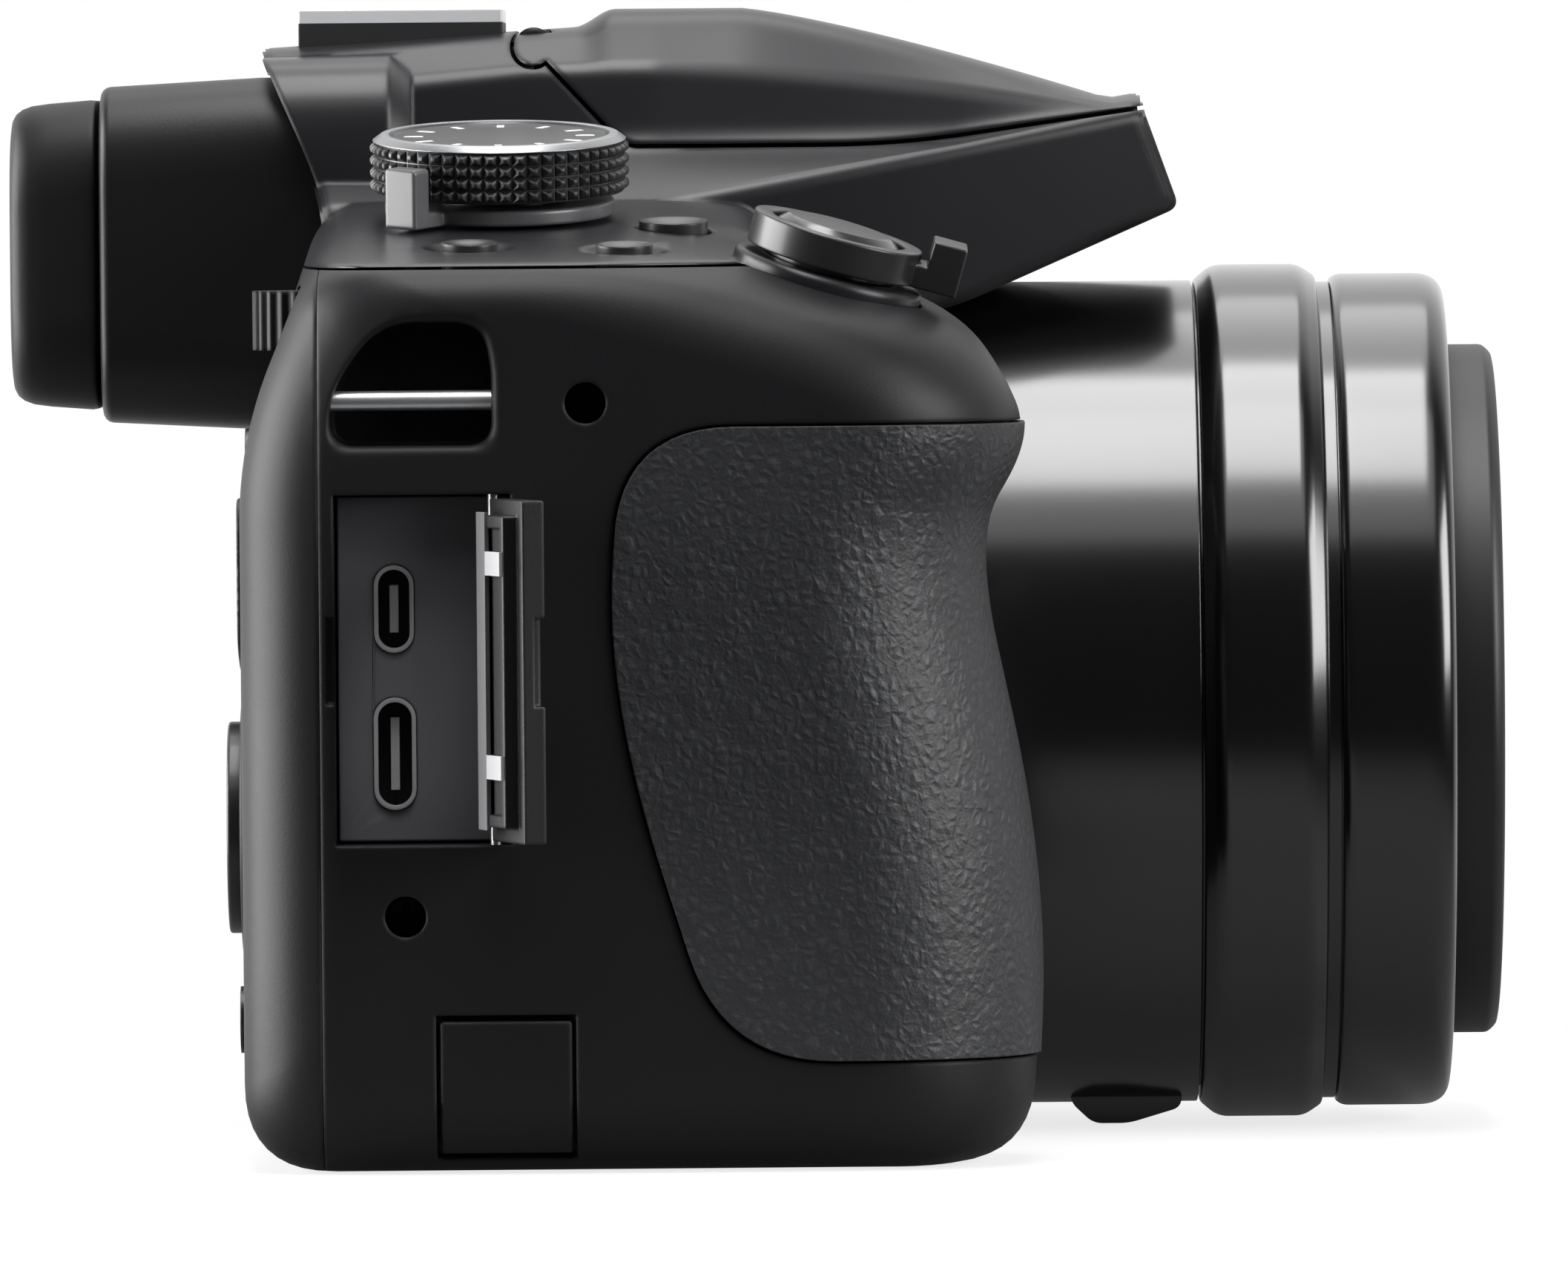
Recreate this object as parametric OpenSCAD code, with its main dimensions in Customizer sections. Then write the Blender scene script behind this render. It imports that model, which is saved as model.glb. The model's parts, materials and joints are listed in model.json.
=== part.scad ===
// Bridge camera with a long zoom lens, an open terminal door and a flash that tips up.
// The lens faces -Y, the grip is on -X and +Z is up. The origin is the mouth of the tripod socket.

/* [Body] */
// Lens axis to the grip side
grip_side = 78; // [75:0.5:82]
// Lens axis to the left side
left_side = 52; // [50:0.5:56]
// Tripod axis to the rear face
rear_reach = 15.5; // [14.5:0.5:18]
// Tripod axis to the front face beside the lens
face_reach = 29; // [28:0.5:31]
// Tripod axis to the front of the grip
grip_reach = 49.6; // [48:0.4:52]
// Height of the deck over the seam, at the foot of the hump
deck_rise = 5.3; // [4.8:0.1:6]
// Slope of the deck down to each side, in degrees
deck_tilt = 6.5; // [5:0.5:8]
// Fall of the deck towards the shutter button
deck_fall = 5.7; // [5:0.1:6.4]
// Height of the seam under the top cover over the lens barrel
seam_rise = 1.9; // [1.6:0.1:2.6]
// Tripod axis to the seam between the front and rear covers
seam_reach = 9; // [8.8:0.1:9.6]
// Thickness of the moulded walls
wall = 2.2; // [1.8:0.1:2.6]
// Radius of the rear corners in plan
rear_r = 8; // [6:0.5:10]
// Radius of the grip in plan
grip_r = 15; // [12:0.5:17]
// Radius of the edge round the base
base_r = 6; // [4:0.5:7]
// Radius of the edge round the deck
deck_r = 3; // [2:0.25:4]
// Lens axis to the start of the blend from grip to front face
grip_in = 54; // [52:0.5:56]
// Width of the blend from grip to front face
grip_blend = 12; // [10:0.5:13]
// Depth of the finger notch under the shoulder of the grip
notch_depth = 5.8; // [4:0.2:7]
// Shoulder of the grip down to the finger notch
notch_drop = 11.2; // [9:0.2:13]
// Seam under the top cover down to the shoulder of the grip
shoulder_drop = 10.8; // [9.6:0.2:13]
// Height of the fullest part of the grip
belly_h = 23; // [18:0.5:30]
// Seam under the top cover down to the knee where the rear face starts to lean forward
knee_drop = 13.3; // [11.4:0.1:16]
// Shoulder of the grip down to the top edge of the grip rubber
rubber_drop = 1.9; // [1.2:0.1:3]
// Height of the lower edge of the grip rubber
rubber_low = 8.8; // [8:0.2:12]
// Thickness of the grip rubber
rubber_t = 1.1; // [0.9:0.1:1.4]
// Height of the grip rubber over the covers
rubber_proud = 0.35; // [0.2:0.05:0.6]
// Thickness of the base plate
base_t = 2; // [1.6:0.1:2.2]

/* [Hump] */
// Height of the top of the flash lid over the ridge
crown_rise = 4.9; // [4.2:0.1:5.6]
// Height of the ridge at each side of the top over the waist
ridge_rise = 6.4; // [5.6:0.1:7]
// Height of the waist over the deck
waist_rise = 4.6; // [4:0.1:5.4]
// Half width of the hump at the deck
hump_foot = 28.5; // [27:0.25:29]
// Half width of the waist
waist_w = 20; // [19:0.25:21]
// Half width of the ridge
ridge_w = 17.5; // [16.5:0.25:18.5]
// Half width of the flat top
top_w = 12; // [10.5:0.25:13]
// Tripod axis to the tip of the nose
nose_reach = 61.3; // [60:0.25:62]
// Tripod axis to the start of the nose taper
nose_start = 17; // [14:0.5:20]
// Tripod axis to the hinge of the flash lid
lid_hinge_reach = 7.7; // [7:0.1:8.5]

/* [Lens] */
// Height of the underside of the rear collar over the base
collar_low = 0.2; // [0.1:0.05:1]
// Diameter of the fixed barrel
barrel_d = 68.8; // [67:0.2:70]
// Tripod axis to the front end of the fixed barrel
barrel_reach = 62.6; // [62:0.2:64]
// Thickness of the fixed barrel
barrel_t = 1.8; // [1.4:0.1:2]
// Height of the rear collar over the fixed barrel
rear_collar_rise = 1.3; // [1:0.05:1.8]
// Length of the rear collar
rear_collar_l = 10.2; // [9:0.2:11]
// Width of the groove between the collars
groove_w = 1.2; // [0.8:0.1:1.6]
// Height of the front collar over the fixed barrel
front_collar_rise = 0.45; // [0.3:0.05:0.8]
// Length of the front collar
front_collar_l = 9.4; // [8.6:0.2:10.4]
// Step from the fixed barrel in to the middle zoom barrel
middle_step = 3.4; // [3.2:0.05:3.8]
// Step from the middle zoom barrel in to the front zoom barrel
front_step = 2.15; // [2:0.05:2.6]
// Length of the front zoom barrel that shows when the lens is drawn in
front_show = 4.1; // [3.5:0.1:6]
// Wall of the front zoom barrel outside the filter thread
filter_wall = 1.75; // [1.5:0.05:2.2]
// Depth of the filter thread
filter_depth = 3.8; // [3:0.1:4.4]
// Rim between the filter thread and the front lens element
glass_rim = 3.1; // [2.4:0.1:5]

/* [Viewfinder] */
// Width of the viewfinder housing
finder_w = 46; // [44:0.5:48]
// Seam under the top cover down to the lower edge of the viewfinder housing
finder_drop = 13.5; // [12.8:0.1:14.4]
// Top of the flash lid down to the upper edge of the viewfinder housing
finder_cover = 5.5; // [5:0.1:6.2]
// Tripod axis to the rear end of the viewfinder housing
finder_reach = 28.25; // [27:0.25:31]
// Length of the eyecup
eyecup_l = 7.5; // [6:0.25:9]
// Width of the eyepiece window
eyepiece_w = 24; // [20:0.5:26]
// Height of the eyepiece window
eyepiece_h = 16; // [13:0.5:18]

/* [Controls] */
// Diameter of the mode dial
dial_d = 21.2; // [20:0.2:21.6]
// Height of the mode dial
dial_h = 4.7; // [4:0.1:5.4]
// Teeth round the mode dial
dial_teeth = 54; // [40:1:64]
// Diameter of the shutter button
shutter_d = 10; // [9:0.2:10.6]
// Diameter of the zoom lever ring
zoom_d = 14; // [13.4:0.2:14.6]
// Diameter of the deck buttons
button_d = 4.6; // [4:0.1:5]
// Diameter of the dish round each deck button
dish_d = 7.3; // [6.6:0.1:7.8]
// Diameter of the movie button
movie_d = 5.6; // [5:0.1:6]
// Diameter of the cursor pad
pad_d = 17.2; // [16:0.2:18]
// Diameter of the set button
set_d = 6; // [5:0.2:6.6]
// Travel of the rear buttons
press = 0.5; // [0.3:0.05:0.6]
// Diameter of the rear buttons
rear_button_d = 5.4; // [5:0.1:6]
// Diameter of the rear dial
rear_dial_d = 14.4; // [13.6:0.2:15]
// Height of the rear dial
rear_dial_h = 4.8; // [4:0.1:5.2]
// Teeth round the rear dial
rear_dial_teeth = 32; // [24:1:40]

/* [Monitor] */
// Width of the monitor glass
monitor_w = 67; // [64:0.5:68]
// Height of the monitor glass
monitor_h = 50; // [48:0.5:51]
// Lens axis to the middle of the monitor
monitor_x = 10.5; // [10:0.5:12]
// Wall between the monitor and the viewfinder housing
monitor_wall = 3.8; // [3:0.1:4.6]

/* [Terminals] */
// Wall between the strap recess and the terminal bay
bay_wall = 3.9; // [3:0.1:5]
// Height of the terminal bay
bay_h = 28; // [27:0.2:29]
// Width of the terminal door, from its hinge to its free edge
door_w = 12.3; // [12:0.1:12.5]
// Thickness of the terminal door
door_t = 1.8; // [1.5:0.1:2]
// Depth of the terminal panel under the side
bay_depth = 4.4; // [4:0.1:4.6]
// Angle of the open terminal door, in degrees
door_angle = 105; // [90:1:110]
// Tripod axis to the hinge of the terminal door
door_hinge_reach = 5; // [4.6:0.1:5.2]

/* [Power] */
// Thickness of the battery
battery_t = 17; // [15:0.2:17.2]
// Depth of the battery
battery_w = 29; // [27:0.2:29.4]
// Height of the battery
battery_l = 38; // [34:0.5:40]
// Wall of the battery box
box_t = 1; // [0.8:0.1:1.2]
// Height of the coupler flap
flap_h = 12.2; // [11:0.2:13.4]
// Width of the coupler flap
flap_w = 10.5; // [9:0.25:11]
// Thickness of the coupler flap
flap_t = 1.3; // [1:0.1:1.6]

/* [Fits] */
// Drilled diameter of the tripod socket
socket_d = 5.1; // [5:0.05:5.2]
// Depth of the tripod socket
socket_depth = 5.6; // [5:0.1:6]
// Gap at the seams between fixed pieces
seam_gap = 0.2; // [0.12:0.02:0.3]
// Gap round moving pieces
run_gap = 0.35; // [0.3:0.05:0.45]
// Gap round pins and shafts
pin_gap = 0.06; // [0.04:0.01:0.1]

/* [Hidden] */
$fn = 64;

// Heights, each from the one that it stands on or hangs under
lens_low = collar_low + rear_collar_rise;
lens_h = lens_low + barrel_d / 2;
barrel_top = lens_low + barrel_d;
seam_h = barrel_top + seam_rise;
deck_h = seam_h + deck_rise;
waist_h = deck_h + waist_rise;
ridge_h = waist_h + ridge_rise;
hump_h = ridge_h + crown_rise;
shoulder_h = seam_h - shoulder_drop;
notch_h = shoulder_h - notch_drop;
rubber_top = shoulder_h - rubber_drop;
knee_h = seam_h - knee_drop;
finder_low = seam_h - finder_drop;
finder_top = hump_h - finder_cover;
finder_mid = (finder_low + finder_top) / 2;
monitor_z = finder_low - monitor_wall - monitor_h / 2;
strap_drop = 10.4;
strap_foot = 3.6;
strap_h = seam_h - strap_drop;
bay_low = strap_h - strap_foot - bay_wall - bay_h;

// Diameters of the lens, each from the one outside it
rear_collar_d = barrel_d + 2 * rear_collar_rise;
front_collar_d = barrel_d + 2 * front_collar_rise;
middle_d = barrel_d - 2 * middle_step;
front_d = middle_d - 2 * front_step;
filter_d = front_d - 2 * filter_wall;
front_glass_d = filter_d - 2 * glass_rim;

// Small tools for outlines and lofts
function fade(t) = let (k = min(1, max(0, t))) k * k * (3 - 2 * k);
function mix(a, b, k) = a + (b - a) * k;
function round_in(d, r) = d >= r ? 0 : r - sqrt(r * r - (r - d) * (r - d));

// Corners [u, v, ease] moved outwards by d
function grow(v, d) = let (n = len(v)) [for (i = [0:n - 1])
  let (a = v[(i + n - 1) % n], b = v[i], c = v[(i + 1) % n],
       e = [b[0] - a[0], b[1] - a[1]], f = [c[0] - b[0], c[1] - b[1]],
       p = [e[1], -e[0]] / norm(e), q = [f[1], -f[0]] / norm(f), s = d / (1 + p * q))
  [b[0] + s * (p[0] + q[0]), b[1] + s * (p[1] + q[1]), b[2]]];

// Points round an outline whose corners [u, v, ease] are eased by curves of n steps
function soft(v, n) = let (m = len(v)) [for (i = [0:m - 1])
  let (c = [v[i][0], v[i][1]], a = v[(i + m - 1) % m], b = v[(i + 1) % m],
       p = [a[0], a[1]] - c, q = [b[0], b[1]] - c,
       s = c + p * min(v[i][2] / norm(p), 0.48), e = c + q * min(v[i][2] / norm(q), 0.48))
  for (j = [0:n]) let (k = j / n) (1 - k) * (1 - k) * s + 2 * k * (1 - k) * c + k * k * e];

// Corners of a rectangle, all with the same ease
function box_corners(w, h, ease) = [[w / 2, -h / 2, ease], [w / 2, h / 2, ease],
  [-w / 2, h / 2, ease], [-w / 2, -h / 2, ease]];

// Skin through rings with equal numbers of points, closed at both ends
module loft(rings) {
  n = len(rings[0]);
  m = len(rings);
  mid = function(r) [for (a = [0:2]) [for (p = r) 1] * [for (p = r) p[a]] / n];
  side = function(i, j, k) [[k * n + i, (k + 1) * n + i, (k + 1) * n + j],
    [k * n + i, (k + 1) * n + j, k * n + j]];
  polyhedron(points = [for (r = rings) each r, mid(rings[0]), mid(rings[m - 1])],
    faces = [for (i = [0:n - 1]) let (j = (i + 1) % n) each concat([[n * m, i, j]],
      [for (k = [0:m - 2]) each side(i, j, k)], [[n * m + 1, (m - 1) * n + j, (m - 1) * n + i]])]);
}

// Outline drawn in Y and Z, as thick as x1 - x0
module along_x(x0, x1) translate([x0, 0, 0]) rotate([90, 0, 90]) linear_extrude(x1 - x0) children();

// Outline drawn in X and Z, from y0 back to y1
module along_y(y0, y1) translate([0, y1, 0]) rotate([90, 0, 0]) linear_extrude(y1 - y0) children();

// Rod along Y from y0 to y1
module rod_y(x, z, r, y0, y1) translate([x, y1, z]) rotate([90, 0, 0]) cylinder(r = r, h = y1 - y0);

// Rod along X from x0 to x1
module rod_x(y, z, r, x0, x1) translate([x0, y, z]) rotate([0, 90, 0]) cylinder(r = r, h = x1 - x0);

// Block between two corners
module block(a, b) translate(a) cube(b - a);

// Profile of radius and distance ahead of the tripod axis, turned about the lens axis
module turned() translate([0, 0, lens_h]) rotate([90, 0, 0]) rotate_extrude($fn = 96) children();

// Rectangle of a turned profile between two radii and two distances
module band(r0, r1, d0, d1) translate([r0, d0]) square([r1 - r0, d1 - d0]);

// Body form: side profiles at stations from the grip side to the left side
function side_in(x, r) = round_in(x + grip_side, r) + round_in(left_side - x, r);
function deck_z(x) = deck_h - tan(deck_tilt) * max(0, abs(x) - hump_foot);
fall_run = 20;
fall_angle = atan(deck_fall / fall_run);
fall_start = grip_reach - 26.6;

// The corners of one profile; lift raises the deck alone, so that the hollow stays open to the top
function body_corners(x, d, lift) =
  let (k = fade((x - d + grip_in) / grip_blend),
       rear = rear_reach - side_in(x, rear_r),
       low = side_in(x, base_r),
       top = deck_z(x) - side_in(x, deck_r),
       a = round_in(x + grip_side, grip_r),
       b = round_in(left_side - x, rear_r),
       front = function(set_back, face_back) -mix(grip_reach - set_back - a, face_reach - face_back - b, k))
  [[rear, low, 7], [rear, knee_h, 7], [rear - 6 * (1 + lift / (top - knee_h)), top + lift, 4],
   [front(grip_reach - fall_start, 8), top + lift, 8],
   [front(grip_reach - fall_start - fall_run, 1.5), top - mix(deck_fall, 1, k), 6],
   [front(1.6, 0), shoulder_h, 7], [front(1.6, 0), shoulder_h - 4, 3], [front(notch_depth, 0), notch_h, 9],
   [front(0, 0), belly_h, 16], [front(1.1, 0), low, 7]];

grip_stations = concat([for (d = [0, 0.6, 2, 4.5, 8, 12, 16]) d - grip_side],
  [for (k = [0:5]) grip_blend * k / 5 - grip_in]);
all_stations = concat(grip_stations, [-hump_foot, hump_foot], [for (d = [8, 4.5, 2, 0.6, 0]) left_side - d]);

module body_form(d, stations = all_stations, n = 3, lift = 0) {
  span = grip_side + left_side;
  loft([for (x = stations) [for (p = soft(grow(body_corners(x, d, lift), d), n))
    [x + d * (2 * (x + grip_side) / span - 1), p[0], p[1]]]]);
}

module grip_form(d) body_form(d, grip_stations);

// Inside of the moulded shell
module body_hollow() body_form(-wall, all_stations, 2, 6);

// Everything above the seam under the top cover
module above_seam(gap) {
  drop = 24 * tan(8.4);
  along_x(-grip_side - 5, left_side + 5)
    polygon([[rear_reach + 24, seam_h + gap], [-fall_start - 3, seam_h + gap],
      [-fall_start - 27, seam_h - drop + gap], [-fall_start - 27, hump_h + 30],
        [rear_reach + 24, hump_h + 30]]);
}

// Grip rubber
rubber_inner = grip_in - 4;

module rubber_zone(gap) {
  rim = [[-grip_reach - 12, rubber_low, 0.1], [-23, rubber_low, 9], [-13.8, 38, 18], [-15.2, rubber_top, 9],
    [-grip_reach - 12, rubber_top, 0.1]];
  along_x(-grip_side - 4, -rubber_inner + gap) polygon(soft(grow(rim, gap), 5));
}

module grip_rubber() color("#2b2b2d") intersection() {
  difference() {
    grip_form(rubber_proud);
    grip_form(rubber_proud - rubber_t);
  }
  rubber_zone(0);
}

// Base plate and battery door outlines, drawn in X and Y
base_lip = 1.5;
door_edge = 46.5;
door_side = grip_side - 8.6;
door_front = grip_reach - 11.6;
door_rear = 2;

function base_corners() = [[left_side - 8.5, rear_reach - 8.6, 4], [-grip_side + 7.6, rear_reach - 8.6, 4],
  [-grip_side + 7.6, -grip_reach + 10.2, 6], [-grip_in - 1.5, -grip_reach + 10.2, 5],
  [-grip_in + grip_blend - 2.5, -face_reach + 3, 6], [-grip_in + grip_blend + 4, -face_reach + 7.6, 5],
  [left_side - 8.5, -face_reach + 7.6, 4]];

function door_corners() = [[-door_edge, -door_rear, 1], [-door_side, -door_rear, 2],
  [-door_side, -door_front, 4],
  [-grip_in - 1.6, -door_front, 3], [-door_edge, -door_front + 10.5, 1]];

module base_outline(d) polygon(soft(grow(base_corners(), d), 4));

module door_outline(d) polygon(soft(grow(door_corners(), d), 3));

module base_cut() {
  translate([0, 0, -1]) linear_extrude(1 + wall + 4) base_outline(seam_gap);
  translate([0, 0, base_t / 2 - seam_gap]) linear_extrude(wall + 4) base_outline(base_lip + seam_gap);
}

// Screws of the base plate, in X and Y, and of the grip side, in Y and Z
base_screws = [[left_side - 12, rear_reach - 12], [left_side - 12, -face_reach + 11],
  [-grip_in + grip_blend + 8, -face_reach + 11], [-grip_side + 14, rear_reach - 12]];
base_ribs = [[left_side - 12, left_side - wall - 0.2, 0], [-face_reach + wall + 0.2, -face_reach + 11, 1],
  [-face_reach + wall + 0.2, -face_reach + 11, 1], [-grip_side + wall + 0.2, -grip_side + 14, 0]];
side_screws = [[-12.4, rubber_top + 2], [2.3, bay_low - 5.7]];
screw_r = 1.65;
screw_bore = 0.85;
screw_depth = 4.4;

module side_screw_bosses()
  for (s = side_screws) rod_x(s[0], s[1], screw_r + 1.6, -grip_side + 0.5, -grip_side + 7);

module side_screw_holes()
  for (s = side_screws) rod_x(s[0], s[1], screw_r, -grip_side - 1, -grip_side + screw_depth);

module base_bosses() for (i = [0:3]) let (s = base_screws[i], b = base_ribs[i]) difference() {
  union() {
    translate([s[0], s[1], base_t + seam_gap]) cylinder(r = 2.2, h = 5);
    if (b[2] == 0) block([b[0], s[1] - 0.8, base_t + seam_gap], [b[1], s[1] + 0.8, base_t + 4]);
    if (b[2] == 1) block([s[0] - 0.8, b[0], base_t + seam_gap], [s[0] + 0.8, b[1], base_t + 4]);
  }
  translate([s[0], s[1], 0]) cylinder(r = screw_bore, h = base_t + 8);
}

module screw(r) difference() {
  union() {
    cylinder(r = r, h = 1);
    translate([0, 0, -4]) cylinder(r = screw_bore - 0.02, h = 4.1);
  }
  for (a = [0, 90]) rotate([0, 0, a]) translate([-r * 0.65, -0.2, 0.5]) cube([r * 1.3, 0.4, 1]);
}

module case_screws() color("#8a8c90") {
  for (s = side_screws)
    translate([-grip_side + screw_depth, s[0], s[1]]) rotate([0, -90, 0]) screw(screw_r - 0.1);
  for (s = base_screws) translate([s[0], s[1], 1.1]) rotate([180, 0, 0]) screw(1.5);
}

module side_screw_bores() for (s = side_screws)
  rod_x(s[0], s[1], screw_bore, -grip_side, -grip_side + screw_depth + 4.2);

// Strap bars in their recesses at both sides
strap_depth = 7;
strap_r = 0.8;
strap_inset = 1.5;

module strap_recess(d) {
  rim = [[8, strap_h - strap_foot, 2], [8, strap_h + 0.8, 3], [4, strap_h + 6.2, 3], [-4, strap_h + 6.2, 2.5],
    [-4.9, strap_h + 3, 2], [-4.9, strap_h - strap_foot, 2]];
  polygon(soft(grow(rim, d), 4));
}

module strap_cups(d, depth) {
  along_x(-grip_side - 1, -grip_side + depth) strap_recess(d);
  along_x(left_side - depth, left_side + 1) strap_recess(d);
}

module strap_bars() color("#d4d6da")
  for (x = [-grip_side + strap_inset, left_side - strap_inset])
    rod_y(x, strap_h, strap_r, -6.1, seam_reach - 0.2);

module strap_bar_bores()
  for (x = [-grip_side + strap_inset, left_side - strap_inset])
    rod_y(x, strap_h, strap_r + 0.02, -6.2, seam_reach + 1);

// Terminal bay with its panel, sockets and door
bay_front = door_hinge_reach + 1.35;
bay_rear = door_w - door_hinge_reach + 0.5;
door_pin_r = 0.5;
door_axis = [-grip_side + 1, -door_hinge_reach, 0];
socket_y = 3.1;
hdmi_z = bay_low + 18.8;
usb_z = bay_low + 7.2;
notch_l = 7;
notch_z = bay_low + bay_h / 2 + 0.8;

module bay_cut() {
  block([-grip_side - 1, -bay_front, bay_low], [-grip_side + bay_depth + 2, bay_rear, bay_low + bay_h]);
  block([-grip_side - 1, bay_rear - 0.1, notch_z - notch_l / 2],
    [-grip_side + 1.6, bay_rear + 0.7, notch_z + notch_l / 2]);
  translate([door_axis[0], door_axis[1], bay_low - 1.2]) cylinder(r = door_pin_r + 0.02, h = bay_h + 2.4);
}

module bay_walls() block([-grip_side + 0.5, -bay_front - 1.6, bay_low - 1.6],
  [-grip_side + bay_depth + 2.6, seam_reach + 1, bay_low + bay_h + 1.6]);

module slot_shape(w, h) {
  for (s = [-1, 1]) translate([0, s * (h - w) / 2]) circle(d = w);
  square([w, h - w], center = true);
}

hdmi_w = 3.2;
hdmi_h = 7;
usb_w = 3.4;
usb_h = 9;

module terminal_panel() color("#4a4a52") difference() {
  block([-grip_side + bay_depth, -bay_front + seam_gap, bay_low + seam_gap],
    [-grip_side + bay_depth + 1.8, bay_rear - seam_gap, bay_low + bay_h - seam_gap]);
  along_x(-grip_side, -grip_side + 20) translate([socket_y, hdmi_z]) slot_shape(hdmi_w + 0.1, hdmi_h + 0.1);
  along_x(-grip_side, -grip_side + 20) translate([socket_y, usb_z]) slot_shape(usb_w + 0.1, usb_h + 0.1);
}

module socket_shell(z, w, h) {
  front = -grip_side + bay_depth - 0.25;
  difference() {
    along_x(front, front + 7) translate([socket_y, z]) slot_shape(w, h);
    along_x(front - 1, front + 6.2) translate([socket_y, z]) slot_shape(w - 0.7, h - 0.7);
  }
  block([front + 1, socket_y - 0.35, z - h / 2 + 1.6], [front + 6.4, socket_y + 0.35, z + h / 2 - 1.6]);
}

module hdmi_socket() color("#c9ccd2") socket_shell(hdmi_z, hdmi_w, hdmi_h);

module usb_socket() color("#c9ccd2") socket_shell(usb_z, usb_w, usb_h);

module socket_room() for (s = [[hdmi_z, hdmi_w, hdmi_h], [usb_z, usb_w, usb_h]])
  along_x(-grip_side + bay_depth + 1, -grip_side + bay_depth + 8) translate([socket_y, s[0]])
    slot_shape(s[1] + 0.3, s[2] + 0.3);

module door_turn() translate(door_axis) rotate([0, 0, door_angle]) children();

knuckle_zs = [bay_low + 6.6, bay_low + bay_h - 5.6];

module terminal_door() color("#37373b") door_turn() {
  gap = run_gap;
  difference() {
    block([-1, 1.8, bay_low + gap], [-1 + door_t, door_w, bay_low + bay_h - gap]);
    block([-2, door_w - 1.3, notch_z - notch_l / 2], [-0.2, door_w + 1, notch_z + notch_l / 2]);
  }
  difference() {
    block([-1.1 + door_t, 3.2, bay_low + 1.6], [0.2 + door_t, door_w - 1.6, bay_low + bay_h - 1.6]);
    block([-0.2 + door_t, 4.2, bay_low + 2.6], [1 + door_t, door_w - 2.6, bay_low + bay_h - 2.6]);
  }
  for (z = knuckle_zs) difference() {
    union() {
      translate([0, 0, z - 1.4]) cylinder(r = 0.95, h = 2.8);
      block([-0.6, 0, z - 1.4], [0.8, 2.6, z + 1.4]);
    }
    translate([0, 0, z - 2]) cylinder(r = door_pin_r + pin_gap, h = 4);
  }
}

module terminal_hinge_pin() color("#9a9ca0")
  translate([door_axis[0], door_axis[1], bay_low - 1.1]) cylinder(r = door_pin_r, h = bay_h + 2.2);

// Coupler flap low on the grip side
flap_y = -0.4;
flap_points = [for (d = [0, 0.6, 2]) [d - grip_side, side_in(d - grip_side, base_r)]];

module flap_outline(out, back, gap) {
  low = flap_points[2];
  polygon(concat([[flap_points[0][0] - out, flap_h + gap]], [[flap_points[0][0] - out, flap_points[0][1]]],
    [[flap_points[1][0] - out, flap_points[1][1] - out]], [[low[0] - out, low[1] - out - gap]],
    [[low[0] + back, low[1] + back * 0.4 - gap]], [[flap_points[0][0] + back, flap_points[0][1]]],
    [[flap_points[0][0] + back, flap_h + gap]]));
}

module coupler_flap() color("#2e2e31") along_y(flap_y - flap_w, flap_y) flap_outline(0, flap_t, 0);

module flap_cut()
  along_y(flap_y - flap_w - run_gap, flap_y + run_gap) flap_outline(2, flap_t + run_gap, run_gap + 0.15);

// Front and rear covers; a ring stands out of the front round the lens
ring_w = 2.3;
ring_out = 2;

module lens_hole(gap) turned() band(0, barrel_d / 2 + gap, face_reach - 20, 100);

module front_cover() color("#1f2022") {
  front_shell();
  base_bosses();
}

module front_shell() difference() {
  union() {
    body_form(0);
    intersection() {
      turned() polygon([[barrel_d / 2, 10], [barrel_d / 2 + ring_w, 10],
        [barrel_d / 2 + ring_w, face_reach + ring_out - 0.8],
        [barrel_d / 2 + ring_w - 0.9, face_reach + ring_out], [barrel_d / 2, face_reach + ring_out]]);
      block([-50, -60, 0.3], [50, -face_reach + 4, seam_h - 1]);
    }
  }
  difference() {
    body_hollow();
    bay_walls();
    side_screw_bosses();
    strap_cups(1.4, strap_depth + 1.4);
    along_y(flap_y - flap_w - 2, flap_y + 2) flap_outline(0, flap_t + 2.4, 2);
  }
  block([-grip_side - 9, seam_reach, -9], [left_side + 9, rear_reach + 9, hump_h]);
  above_seam(0);
  lens_hole(seam_gap);
  difference() {
    rubber_zone(seam_gap);
    grip_form(rubber_proud - rubber_t - 0.1);
  }
  base_cut();
  strap_cups(0, strap_depth);
  strap_bar_bores();
  bay_cut();
  socket_room();
  side_screw_holes();
  side_screw_bores();
  flap_cut();
  finder_cut();
  rear_dial_slot();
  shutter_frame() translate([0, 0, -9]) cylinder(d = zoom_d + 2.2, h = 20);
}

module rear_cover() color("#242527") {
  rear_shell();
  rear_dial_cheek();
}

module rear_shell() difference() {
  union() {
    body_form(0);
    along_y(rear_reach - 1, rear_reach + 0.5) translate([pad_x, pad_z]) circle(d = pad_d + 4.2);
  }
  body_hollow();
  block([-grip_side - 9, -grip_reach - 9, -9], [left_side + 9, seam_reach + seam_gap, hump_h]);
  above_seam(0);
  base_cut();
  finder_cut();
  along_y(seam_reach, rear_reach + 2) monitor_outline(seam_gap);
  rear_dial_slot();
  along_y(rear_reach + thumb_proud - thumb_t, rear_reach + 2) thumb_outline(seam_gap);
  along_y(rear_reach - press, rear_reach + 2) translate([pad_x, pad_z]) circle(d = pad_d + 2 * run_gap);
  rod_y(pad_x, pad_z, pad_stem_d / 2 + run_gap, 0, rear_reach + 2);
  for (b = rear_buttons) rod_y(b[0], b[1], rear_button_d / 2 + run_gap, 0, rear_reach + 2);
}

// Thumb rest, in a pocket of the rear cover
thumb_t = 1;
thumb_proud = 0.3;

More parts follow.
